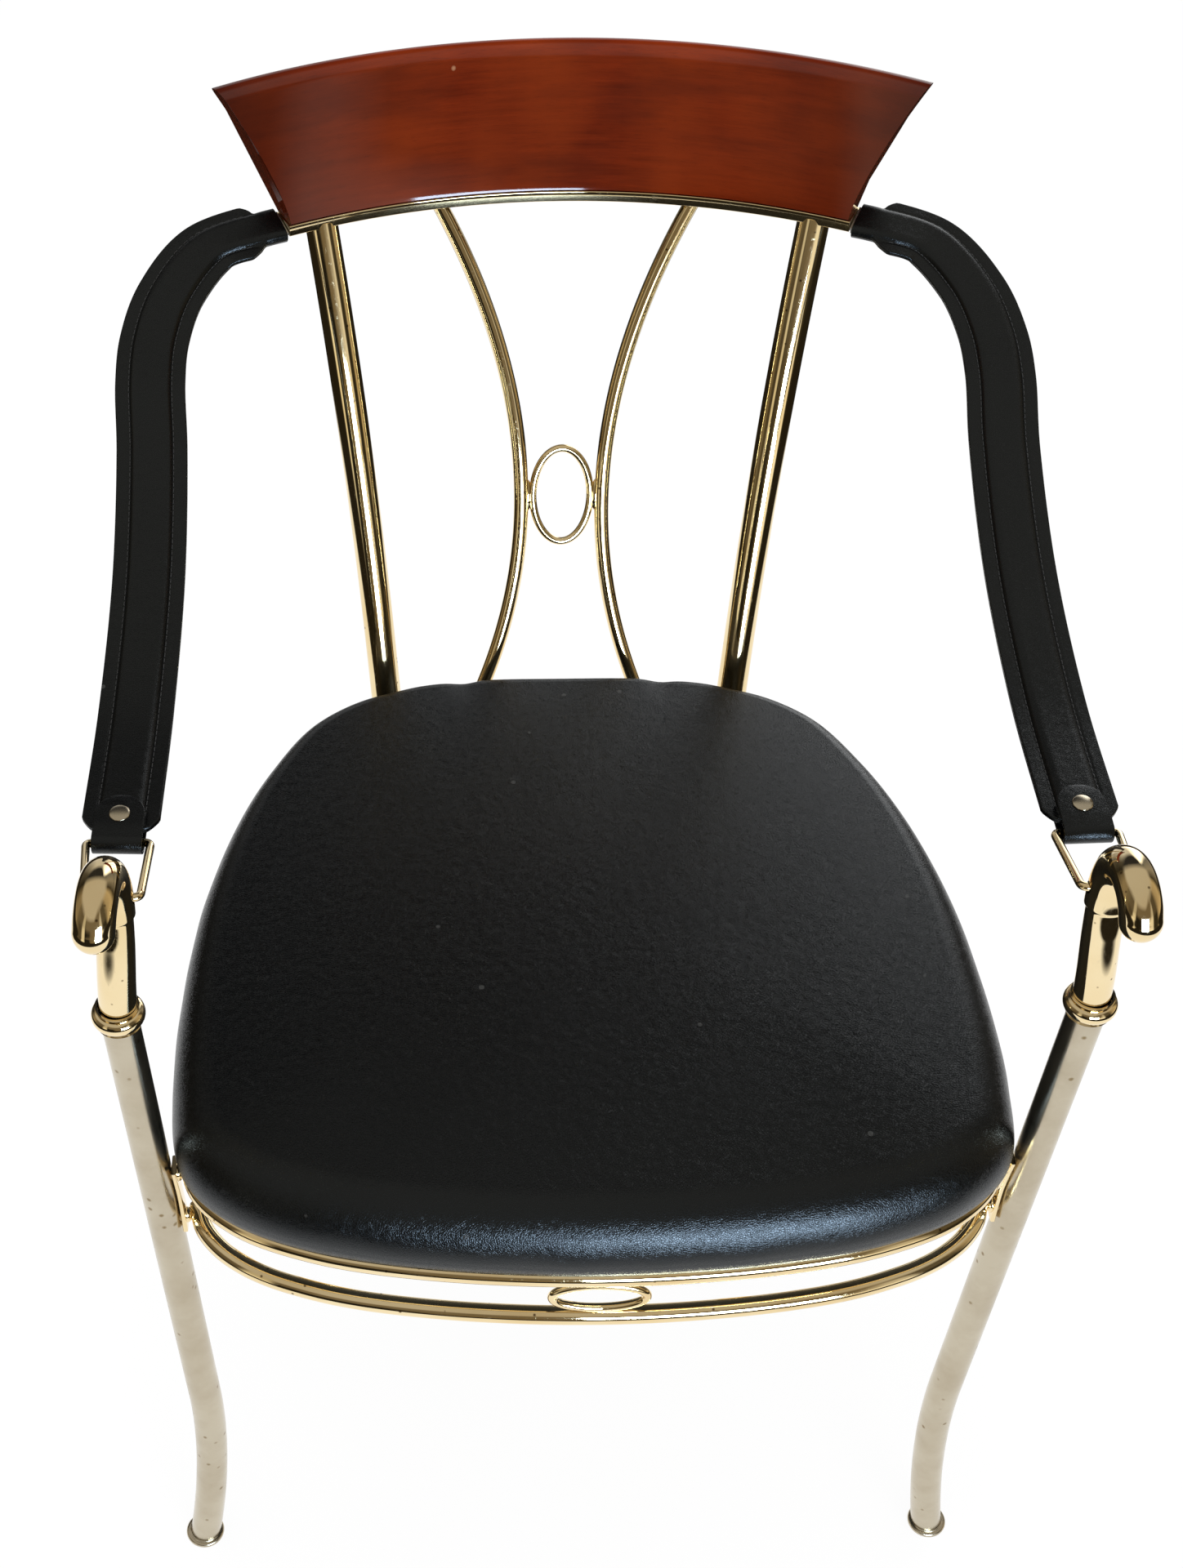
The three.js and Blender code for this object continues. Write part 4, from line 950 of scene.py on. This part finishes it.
def seat_pad():
    """Leather pulled over foam: the profile runs from the fold under the board and round the
    drawn-in foot up the side, and on over the pad's rings."""
    fold = PAD_FOLD_START + PAD_FOLD
    foot = [(fold, 0.0016), (fold, 0.0001), *PAD_FOOT, (0, PAD_ROLL_START)]
    grid = pad_rings(curve_through(foot, 36)[:-1])
    grid = grid + pad_shape(grid)
    pad = make_piece("seat_pad_leather", grid, SEAT_LEATHER, ["seat_cover"], sharp=80)


def seat_filling():
    """Foam block a skin inside the leather, flat below."""
    foot = np.array([[PAD_SKIN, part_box("seat_foam")[0].z - SEAT_BOTTOM]])
    make_piece("seat_foam_block", pad_rings(foot, PAD_SKIN), FOAM, ["seat_foam"], sharp=50)


def ripple(angle, waves):
    """Sum of size * sin(count * angle + start) over the waves."""
    return sum(size * np.sin(count * angle + start) for size, count, start in waves)


def pad_shape(grid):
    """Small moves of the leather: pleats under the fold, slack waves low on the side, and soft
    hollows where the back posts and rods press into the rear edge, each fading as a bell curve."""
    x, y, z = np.moveaxis(grid, -1, 0)
    angle = np.arctan2(y - SEAT_FRONT - SEAT_DEPTH / 2, x)
    rise = (z - SEAT_BOTTOM) / PAD_SIDE
    move = np.zeros_like(grid)
    pleats = np.exp(-(rise / 0.05)**2) * ripple(angle, PLEATS)
    move[..., 2] += PLEAT_DEPTH * pleats
    waves = np.exp(-((rise - 0.35) / 0.3)**2) * ripple(angle, WAVES)
    outward = unit(np.stack([x, y - SEAT_FRONT - SEAT_DEPTH / 2], -1) + 1e-9)
    move[..., :2] += (WAVE_DEPTH * waves)[..., None] * outward
    back = np.clip((y - (SEAT_FRONT + SEAT_DEPTH - PRESS_REACH)) / PRESS_REACH, 0, 1)
    for spot, width in ((POST_SEAT_HALF, POST_PRESS), (SPLAT_FOOT_HALF, ROD_PRESS)):
        for way in (-1, 1):
            press = np.exp(-((x - way * spot) / width)**2) * back**2
            move[..., 1] -= PRESS_BACK * press
            move[..., 2] -= PRESS_DOWN * press * np.clip(rise, 0, 1)
    return move


def staples():
    """Wire staples that hold the fold to the board: short round-ended bars set along the fold's edge."""
    plan = seat_outline(PAD_FOLD_START + PAD_FOLD - STAPLE_SETBACK, STAPLE_COUNT)
    along = direction(plan, closed=True)
    reach = np.linspace(-STAPLE_HALF, STAPLE_HALF, 12)
    drop = STAPLE_DROP * np.sqrt((1 - (reach / STAPLE_HALF)**6).clip(0))
    centre = lifted(plan, SEAT_BOTTOM - 0.0001)[:, None] + 0 * reach[:, None]
    path = centre + lifted(along, 0)[:, None] * reach[:, None]
    path[..., 2] -= drop
    across = lifted(np.stack([-along[:, 1], along[:, 0]], 1), 0)
    ring = circle(STAPLE_WIRE, 8)
    grids = (path[:, :, None] + ring[None, None, :, :1] * across[:, None, None]
             + ring[None, None, :, 1:] * np.array([0, 0, 1]))
    make_piece("seat_staples", grids, STEEL)


seat_pad()
seat_filling()
staples()


# Collars, finials and rings

def collar(name, side):
    """Round bead with a short neck above and below it, turned about the leg."""
    bore = LEG_RADIUS + COLLAR_ROOM
    turn = np.linspace(-np.pi / 2, np.pi / 2, 25)
    half, neck, edge = COLLAR_HEIGHT / 2, COLLAR_NECK, COLLAR_EDGE
    bead = np.stack([COLLAR_RADIUS - COLLAR_BEAD + COLLAR_BEAD * np.cos(turn),
                     COLLAR_BEAD_HALF * np.sin(turn)], 1)
    profile = np.vstack([[bore, -half], [neck - edge, -half], [neck, -half + edge], bead,
                         [neck, half - edge], [neck - edge, half], [bore, half]])
    centre = (side * LEG_TOP_HALF, LEG_LINE, LEG_TOP)
    make_piece(f"{name}_collar_bead", turned(profile, centre, 64), BRASS, [f"{name}_collar"], ring=True)


def finial_line(side):
    """Stem that leans back to the knuckle, then half a circle over to the front that drifts outwards."""
    inward, back, rise = np.array(STEM_SHARES).T
    stem = np.stack([side * (LEG_TOP_HALF - STEM_INSET * inward), LEG_LINE + STEM_LEAN * back,
                     LEG_TOP + KNUCKLE_RISE * rise], 1)
    share = np.arange(1, 8) / 7
    angle = share * np.pi * HOOK_TURN_SHARE
    half = LEG_TOP_HALF - STEM_INSET + (STEM_INSET + HOOK_OUTSET) * share**HOOK_OUTSET_POWER
    hook = np.stack([side * half, LEG_LINE + STEM_LEAN - HOOK_ARCH + HOOK_ARCH * np.cos(angle),
                     LEG_TOP + HOOK_ARCH_RISE + HOOK_ARCH * np.sin(angle)], 1)
    return np.vstack([stem, hook])


def eye_of(side):
    """Middle of the eye, in the knuckle."""
    return np.array([side * (LEG_TOP_HALF - STEM_INSET), LEG_LINE + STEM_LEAN, LEG_TOP + KNUCKLE_RISE])


def finial(name, side):
    """Round bar whose radius steps out at the ledge under the knuckle, falls back as a bell curve
    into the hook and closes in a round end."""
    path = curve_through(finial_line(side), 300)
    reach = np.linspace(0, length(path), len(path))
    swell = np.exp(-((reach - KNUCKLE_RISE).clip(0) / KNUCKLE_SPAN)**2)
    upper = HOOK_RADIUS + (KNUCKLE_RADIUS - HOOK_RADIUS) * swell
    step = 0.5 + 0.5 * np.tanh((reach - LEDGE_RISE) / LEDGE_SPAN)
    radius = STEM_RADIUS + (upper - STEM_RADIUS) * step
    angle = np.linspace(0, np.pi / 2, 14)[1:]
    end = path[-1] + direction(path)[-1] * HOOK_RADIUS * np.sin(angle)[:, None]
    line = np.vstack([path, end])
    wide = np.concatenate([radius, HOOK_RADIUS * np.cos(angle)])
    grid = carried(line, circle(wide, 40), (1, 0, 0))
    body = make_piece(f"{name}_finial_hook", grid, BRASS, [f"{name}_finial"], sharp=30)
    drill_eye(body, eye_of(side))


def drill_eye(body, spot):
    """Cuts the ring's eye across the knuckle with a round bar, and keeps the result in the mesh."""
    path = spot + np.linspace(-EYE_REACH, EYE_REACH, 3)[:, None] * np.array([1, 0, 0])
    bar = make_tube("eye_cutter", path, RING_WIRE + EYE_ROOM, 32, (0, 0, 1), BRASS)
    cut = body.modifiers.new("eye", "BOOLEAN")
    cut.operation = "DIFFERENCE"
    cut.object = bar
    cut.solver = "EXACT"
    graph = bpy.context.evaluated_depsgraph_get()
    drilled = bpy.data.meshes.new_from_object(body.evaluated_get(graph))
    body.modifiers.clear()
    body.data = drilled
    drilled.set_sharp_from_angle(angle=np.radians(30))
    bpy.data.objects.remove(bar)


ARM_FRONT_HALF = LEG_TOP_HALF - STEM_INSET + ARM_OUTSET


def ring_head(side):
    """Middle of the ring's bar, inside the tab's loop."""
    return np.array([side * ARM_FRONT_HALF, LEG_LINE + STEM_LEAN + RING_REACH,
                     LEG_TOP + KNUCKLE_RISE - RING_DROP])


def wire_ring(name, side):
    """Four-cornered loop of wire: straight sides joined by parabolic corners, from the eye to the arm."""
    foot, head = eye_of(side), ring_head(side)
    wide = np.array([1, 0, 0])
    corner = np.array([foot - RING_FOOT_HALF * wide, foot + RING_FOOT_HALF * wide,
                       head + RING_TOP_HALF * wide, head - RING_TOP_HALF * wide])
    before = unit(np.roll(corner, 1, 0) - corner)[:, None]
    after = unit(np.roll(corner, -1, 0) - corner)[:, None]
    t = np.linspace(0, 1, 10)[None, :, None]
    start = corner[:, None] + before * RING_CORNER
    end = corner[:, None] + after * RING_CORNER
    bends = (1 - t)**2 * start + 2 * t * (1 - t) * corner[:, None] + t**2 * end
    route = bends.reshape(-1, 3)
    path = even_steps(np.vstack([route, route[:1]]), 200, closed=True)
    path = sum(np.roll(path, step, 0) for step in (2, 1, 0, -1, -2)) / 5
    lean = np.cross(head - foot, wide)
    make_tube(f"{name}_ring_wire", path, RING_WIRE, WIRE_SIDES, lean, BRASS, [f"{name}_ring"], True,
              f"{name}_wire_ring")


for name, side in SIDES:
    collar(name, side)
    finial(name, side)
    wire_ring(name, side)


# Arms

BAND_ANGLE = np.arcsin(BAND_HALF / CREST_RADIUS)
ARM_END = np.array([(CREST_RADIUS + BAND_DEPTH / 2) * np.sin(BAND_ANGLE),
                    ARC_CENTRE + (CREST_RADIUS + BAND_DEPTH / 2) * np.cos(BAND_ANGLE),
                    BAND_BOTTOM + BAND_HEIGHT / 2])


def arm_line(count):
    """The left arm's line: through its places from the ring to the end of the band, where it
    leaves the arc square."""
    start = ring_head(-1) + (0, ARM_SETBACK, ARM_RISE)
    shares = np.array(ARM_SHARES)
    end = ARM_END * (-1, 1, 1)
    body = np.stack([start[0] * shares[:, 0], start[1] + (end[1] - start[1]) * shares[:, 1],
                     start[2] + (end[2] - start[2]) * shares[:, 2]], 1)
    ahead = np.array([ARM_NECK, GAP * 2])[:, None]
    away = ahead * np.array([-np.cos(BAND_ANGLE), -np.sin(BAND_ANGLE), 0])
    return curve_through(np.vstack([body, end + away]), count)


def arm_frame(count):
    """The arm's line with its across direction, level in front and banked more and more towards the
    back so that the outer edge turns up, its up direction and its length so far."""
    path = arm_line(count)
    along = direction(path)
    level = unit(np.cross(along, (0, 0, 1.0)))
    bank = ARM_BANK * (np.linspace(0, 1, count) - ARM_BANK_START).clip(0)[:, None] / (1 - ARM_BANK_START)
    across = level * np.cos(bank) - np.cross(level, along) * np.sin(bank)
    up = np.cross(across, along)
    reach = np.linspace(0, length(path), count)
    return path, along, across, up, reach


def arm_half(reach):
    """Half width: cut corners in front, and flanges that round off into the neck behind."""
    front = np.clip(reach / FLANGE_CORNER, 0, 1)
    back = np.clip((reach[-1] - reach - ARM_NECK) / FLANGE_CORNER, 0, 1)
    neck = ARM_RAISED_HALF + GAP
    return neck + (ARM_HALF - neck) * (front * back)**FLANGE_CORNER_POWER


def arm_top_height(s):
    """Height of the skin across the arm: flat flange, a stitched valley and a padded middle."""
    near = np.clip((ARM_RAISED_HALF - np.abs(s)) / (ARM_RAISED_HALF * ARM_SHOULDER_SHARE), 0, 1)
    dome = np.sqrt(1 - (1 - near)**2)
    valley = np.exp(-((np.abs(s) - ARM_RAISED_HALF - VALLEY_OFFSET) / VALLEY_WIDTH)**2)
    return FLANGE + (ARM_RAISE - FLANGE) * dome - VALLEY_DEPTH * valley


def arm_leather(name, side, part, upward, count=260):
    """A skin over half of the padded middle and one flange thickness: across the arm and along it
    are the two directions; the edge is rounded."""
    path, along, across, up, reach = arm_frame(count)
    path, across, up, reach = path[:-1], across[:-1], up[:-1], reach[:-1]
    half = arm_half(np.append(reach, reach[-1]))[:-1, None]
    share = np.sin(np.linspace(-np.pi / 2, np.pi / 2, 61))
    s = half * share
    edge = np.sqrt((1 - np.clip((np.abs(s) - (half - FLANGE_EDGE)) / FLANGE_EDGE, 0, 1)**2).clip(0))
    rim = FLANGE_EDGE_SHARE + (1 - FLANGE_EDGE_SHARE) * edge
    u = GAP / 2 + (arm_top_height(s) - GAP / 2) * rim
    back = s[:, ::-1][:, 1:-1]
    s = np.concatenate([s, back], 1)
    u = np.concatenate([u, np.full_like(back, GAP / 2)], 1) * upward
    grid = path[:, None] + s[..., None] * across[:, None] + u[..., None] * up[:, None]
    leather = make_piece(f"{name}_arm_{part}_leather", mirrored(grid, side), STRAP_LEATHER,
                         [f"{name}_arm_{part}"], sharp=50)


def arm_stitches(name, side):
    """Rows of short thread lengths in the valleys beside the padded middle, above and below, each
    a small bar whose ends dive into the leather."""
    path, along, across, up, reach = arm_frame(700)
    places = np.arange(STITCH_FRONT, reach[-1] - ARM_NECK - STITCH_BACK, STITCH_PITCH)
    t = np.linspace(-1, 1, 7)
    ring = circle(STITCH_WIRE, 6)
    grids = []
    for row in (-1, 1):
        for upward in (-1, 1):
            at = places[:, None] + t * STITCH_PITCH * STITCH_SHARE
            point, a, u = (np.stack([np.interp(at, reach, line[:, k]) for k in range(3)], -1)
                           for line in (path, across, up))
            rise = FLANGE - STITCH_SINK + STITCH_RISE * np.cos(t * np.pi / 2)
            centre = point + a * row * (ARM_RAISED_HALF + VALLEY_OFFSET) + u * (upward * rise)[None, :, None]
            grids.append(centre[:, :, None] + ring[:, :1] * a[:, :, None] + ring[:, 1:] * u[:, :, None])
    make_piece(f"{name}_arm_stitches", mirrored(np.concatenate(grids), side), THREAD)


def arm_tab(name, side):
    """Strip of leather carried along its fold: back over the arm, round the ring's bar and under."""
    path, along, across, up, reach = arm_frame(700)
    at = np.argmin(np.abs(reach - RIVET_SETBACK))
    spot, along, across, up = path[at], along[at], across[at], up[at]
    to_bar = ring_head(-1) - spot
    bar = np.array([to_bar @ along, to_bar @ up])
    radius = RING_WIRE + TAB_SLACK + TAB_THICKNESS / 2
    level = ARM_RAISE + GAP + TAB_THICKNESS / 2
    turn = np.linspace(np.pi / 2, np.pi * 1.5, 40)[:, None]
    loop = bar + radius * np.concatenate([np.cos(turn), np.sin(turn)], 1)
    ahead = TAB_TAIL - RIVET_SETBACK
    upper = np.array([[ahead, level], [0, level], [-RIVET_SETBACK, level]])
    route = np.vstack([upper, loop, upper[::-1] * (1, -1)])
    flat = curve_through(route, 160)
    line = spot + flat[:, :1] * along + flat[:, 1:] * up
    tail = np.linspace(0, length(flat), len(flat))
    from_end = np.minimum(tail, tail[-1] - tail)
    round_off = np.sqrt((1 - np.clip(1 - from_end / TAB_HALF, 0, 1)**2).clip(0.0))
    half = TAB_HALF * (TAB_END_SHARE + (1 - TAB_END_SHARE) * round_off)
    ways = np.cross(direction(line), across)
    section = rounded_bar(half, np.full_like(half, TAB_THICKNESS / 2), TAB_CORNER)
    strip = line[:, None] + section[..., :1] * across + section[..., 1:] * ways[:, None]
    make_piece(f"{name}_tab_leather", mirrored(strip, side), STRAP_LEATHER, [f"{name}_arm_tab"], sharp=50)
    rivet(name, side, spot, across, along, up, level + TAB_THICKNESS / 2)


def rivet(name, side, spot, across, along, up, level):
    """Low dome with a rolled edge on each end of a shank, as one turned piece."""
    turn = np.linspace(0, np.pi / 2, 10)
    dome = np.stack([RIVET_RADIUS * np.sin(turn),
                     level + RIVET_RIM + (RIVET_HEIGHT - RIVET_RIM) * np.cos(turn)], 1)
    foot = [[RIVET_RADIUS, level + GAP], [RIVET_SHANK, level + GAP]]
    profile = np.vstack([dome, foot, np.array(foot[::-1]) * (1, -1), dome[::-1] * (1, -1)])
    grid = place_on(turned(profile, (0, 0, 0), 40), across, along, up, spot)
    make_piece(f"{name}_rivet_dome", mirrored(grid, side), SATIN, [f"{name}_arm_rivet"])


for name, side in SIDES:
    arm_leather(name, side, "top", 1)
    arm_leather(name, side, "underside", -1)
    arm_stitches(name, side)
    arm_tab(name, side)


# Studio: floor, room, lamps and camera

FLOOR_RADIUS = 12
FLOOR_CORNERS = 96
SHEET_CENTRE = -0.1
PLAIN_WHITE = (1, 1, 1, 1)
ROOM_TURNS = (
    (-180, (0.22, 0.18, 0.11)), (-160, (0.10, 0.08, 0.05)), (-147, (0.10, 0.08, 0.05)),
    (-141, (0.95, 0.88, 0.70)), (-132, (0.95, 0.88, 0.70)), (-127, (0.02, 0.017, 0.011)),
    (-106, (0.02, 0.017, 0.011)), (-98, (0.20, 0.155, 0.09)), (-78, (0.26, 0.20, 0.115)),
    (-64, (1.1, 1.05, 0.92)), (-46, (1.1, 1.05, 0.92)), (-40, (0.05, 0.04, 0.022)),
    (-22, (0.035, 0.03, 0.018)), (-8, (0.62, 0.50, 0.31)), (12, (0.62, 0.50, 0.31)),
    (22, (0.06, 0.048, 0.027)), (36, (0.35, 0.32, 0.27)), (50, (0.20, 0.20, 0.20)),
    (60, (3.4, 3.4, 3.4)), (72, (2.5, 2.5, 2.5)), (84, (0.75, 0.75, 0.75)), (104, (0.75, 0.75, 0.75)),
    (120, (0.30, 0.29, 0.27)), (130, (0.10, 0.09, 0.07)), (146, (0.025, 0.021, 0.014)),
    (164, (0.30, 0.24, 0.15)),
)


def make_room_round():
    """Colours of the room by compass direction: turned from the direction's angle into a ramp."""
    tree, given, out = new_group("room_round", {"Direction": None}, ["Color"], "NodeSocketColor")
    parts = add(tree, "SeparateXYZ", {"Vector": given["Direction"]}).outputs
    turn = reckon(tree, "ARCTAN2", parts["Y"], parts["X"])
    ramp = add(tree, "ValToRGB", {"Fac": between(tree, turn, -np.pi, np.pi)})
    stops = ramp.color_ramp.elements
    stops.remove(stops[1])
    stops[0].position = 0.0
    stops[0].color = (*ROOM_TURNS[0][1], 1)
    for degrees, colour in ROOM_TURNS[1:]:
        stops.new((degrees + 180) / 360).color = (*colour, 1)
    feed(tree, out, {"Color": ramp.outputs["Color"]})
    return tree


ROOM_ROUND = make_room_round()


def floor():
    """Pale round floor. The camera sees plain white with a trace of the shadow; gloss sees a white
    sheet under the chair, a dark ring round it and the room's colours beyond."""
    angle = np.linspace(0, 2 * np.pi, FLOOR_CORNERS, endpoint=False)
    rim = np.stack([FLOOR_RADIUS * np.cos(angle), FLOOR_RADIUS * np.sin(angle), 0 * angle], 1)
    mesh = bpy.data.meshes.new("floor")
    mesh.from_pydata(rim.tolist(), [], [list(range(FLOOR_CORNERS))])
    material, tree, shader = new_material("pale_floor")
    feed(tree, shader, {"Base Color": (0.8, 0.8, 0.8, 1), "Roughness": 0.9})
    place = object_place(tree)
    from_sheet = add(tree, "VectorMath", {0: place, 1: (0, -SHEET_CENTRE, 0)}, operation="ADD")
    reach = add(tree, "VectorMath", {0: from_sheet.outputs[0]}, operation="LENGTH").outputs["Value"]
    room_colour = use(tree, ROOM_ROUND, Direction=place)["Color"]
    shaded = blend(tree, between(tree, reach, 3.6, 5.2), (0.018, 0.015, 0.010, 1), room_colour)
    gloss = blend(tree, between(tree, reach, 1.26, 1.38), PLAIN_WHITE, shaded)
    path = add(tree, "LightPath").outputs
    colour = blend(tree, path["Is Glossy Ray"], PLAIN_WHITE, gloss)
    glow = add(tree, "Emission", {"Color": colour, "Strength": 1.03})
    direct = reckon(tree, "MAXIMUM", path["Is Camera Ray"], path["Is Transmission Ray"])
    amount = reckon(tree, "MAXIMUM", reckon(tree, "MULTIPLY", direct, 0.9), path["Is Glossy Ray"])
    mix = add(tree, "MixShader", {0: amount, 1: shader.outputs[0], 2: glow.outputs[0]})
    feed(tree, tree.nodes["Material Output"], {"Surface": mix.outputs[0]})
    mesh.materials.append(material)
    ground = put("floor", mesh)


def lamp(name, centre, toward, size, power, colour=(1, 1, 1), for_gloss=False):
    """A soft box of that width and height that faces a point, for matt surfaces or for gloss."""
    data = bpy.data.lights.new(name, "AREA")
    data.shape = "RECTANGLE"
    data.size, data.size_y = size
    data.energy = power
    data.color = colour
    made = put(name, data)
    made.visible_glossy = for_gloss
    made.visible_diffuse = not for_gloss
    made.visible_camera = False
    back = unit(np.asarray(centre, float) - np.asarray(toward, float))
    side = unit(np.cross((0, 0, 1.0), back))
    turn = Matrix(np.stack([side, np.cross(back, side), back], 1).tolist()).to_4x4()
    made.matrix_world = Matrix.Translation(centre) @ turn


def room():
    """Plain pale light for matt surfaces. Gloss sees a room by direction: walls in the room's
    colours, dimmer high up in front, and above them a ceiling, pale but dim towards the back."""
    world = bpy.data.worlds.new("pale_room")
    bpy.context.scene.world = world
    world.use_nodes = True
    tree = world.node_tree
    ray = add(tree, "TexCoord").outputs["Generated"]
    x, y, z = add(tree, "SeparateXYZ", {"Vector": ray}).outputs
    walls = use(tree, ROOM_ROUND, Direction=ray)["Color"]
    aside = between(tree, reckon(tree, "ABSOLUTE", x), 0.5, 0.62, 0.0, 0.55)
    front_walls = blend(tree, aside, (0.22, 0.18, 0.12, 1), walls)
    upper_walls = blend(tree, between(tree, y, -0.2, 0.2), front_walls, walls)
    walls = blend(tree, between(tree, z, 0.06, 0.2), walls, upper_walls)
    backwards = between(tree, y, 0.42, 0.62)
    ceiling = blend(tree, backwards, (0.60, 0.56, 0.49, 1), (0.03, 0.03, 0.032, 1))
    front_drop = between(tree, y, -0.2, 0.2, 0.1, 0.0)
    right_drop = between(tree, x, 0.12, 0.36, 0.0, 0.18)
    level = reckon(tree, "SUBTRACT", reckon(tree, "SUBTRACT", z, front_drop), right_drop)
    colour = blend(tree, between(tree, level, 0.36, 0.54), walls, ceiling)
    for_gloss = add(tree, "LightPath").outputs["Is Glossy Ray"]
    feed(tree, tree.nodes["Background"], {
        "Color": blend(tree, for_gloss, PLAIN_WHITE, colour), "Strength": 0.85})


def studio():
    """Soft lamps above, high in front and behind on the right, and a low cool window in front on
    the right that only gloss sees."""
    floor()
    room()
    lamp("overhead_lamp", (-0.2, 0.1, 2.7), (0, 0, 0.5), (1.5, 1.5), 20)
    lamp("front_lamp", (0.75, -1.5, 2.5), (0, 0, 0.45), (0.8, 0.8), 10)
    lamp("low_lamp", (0.42, -1.56, 0.66), (0.05, -0.3, 0.5), (0.75, 0.46), 36, (0.62, 0.79, 1.0), True)
    lamp("rear_lamp", (1.5, 1.9, 2.0), (0, 0, 0.6), (0.9, 0.9), 8)


def camera():
    """The photograph's own place and lens: turned, tipped down and rolled a little, with the
    frame's middle shifted off the lens's axis."""
    yaw, pitch, roll = 0.014, 0.776, 0.001
    focal_px, shift_right_px, shift_down_px, image_height_px = 2734.565, -183.708, 52.147, 1920
    place = np.array([-0.10456, LEG_LINE - 0.83138, 1.54534])
    forward = np.array([np.sin(yaw) * np.cos(pitch), np.cos(yaw) * np.cos(pitch), -np.sin(pitch)])
    right = np.array([np.cos(yaw), -np.sin(yaw), 0])
    down = np.cross(forward, right)
    right, down = np.cos(roll) * right + np.sin(roll) * down, np.cos(roll) * down - np.sin(roll) * right
    data = bpy.data.cameras.new("camera")
    data.sensor_width = 36
    data.lens = focal_px * data.sensor_width / image_height_px
    data.shift_x = -shift_right_px / image_height_px
    data.shift_y = shift_down_px / image_height_px
    data.clip_start = 0.05
    made = put("camera", data)
    turn = Matrix(np.stack([right, -down, -forward], 1).tolist()).to_4x4()
    made.matrix_world = Matrix.Translation(place) @ turn
    bpy.context.scene.camera = made


studio()
camera()
bpy.context.scene.view_settings.view_transform = "Standard"
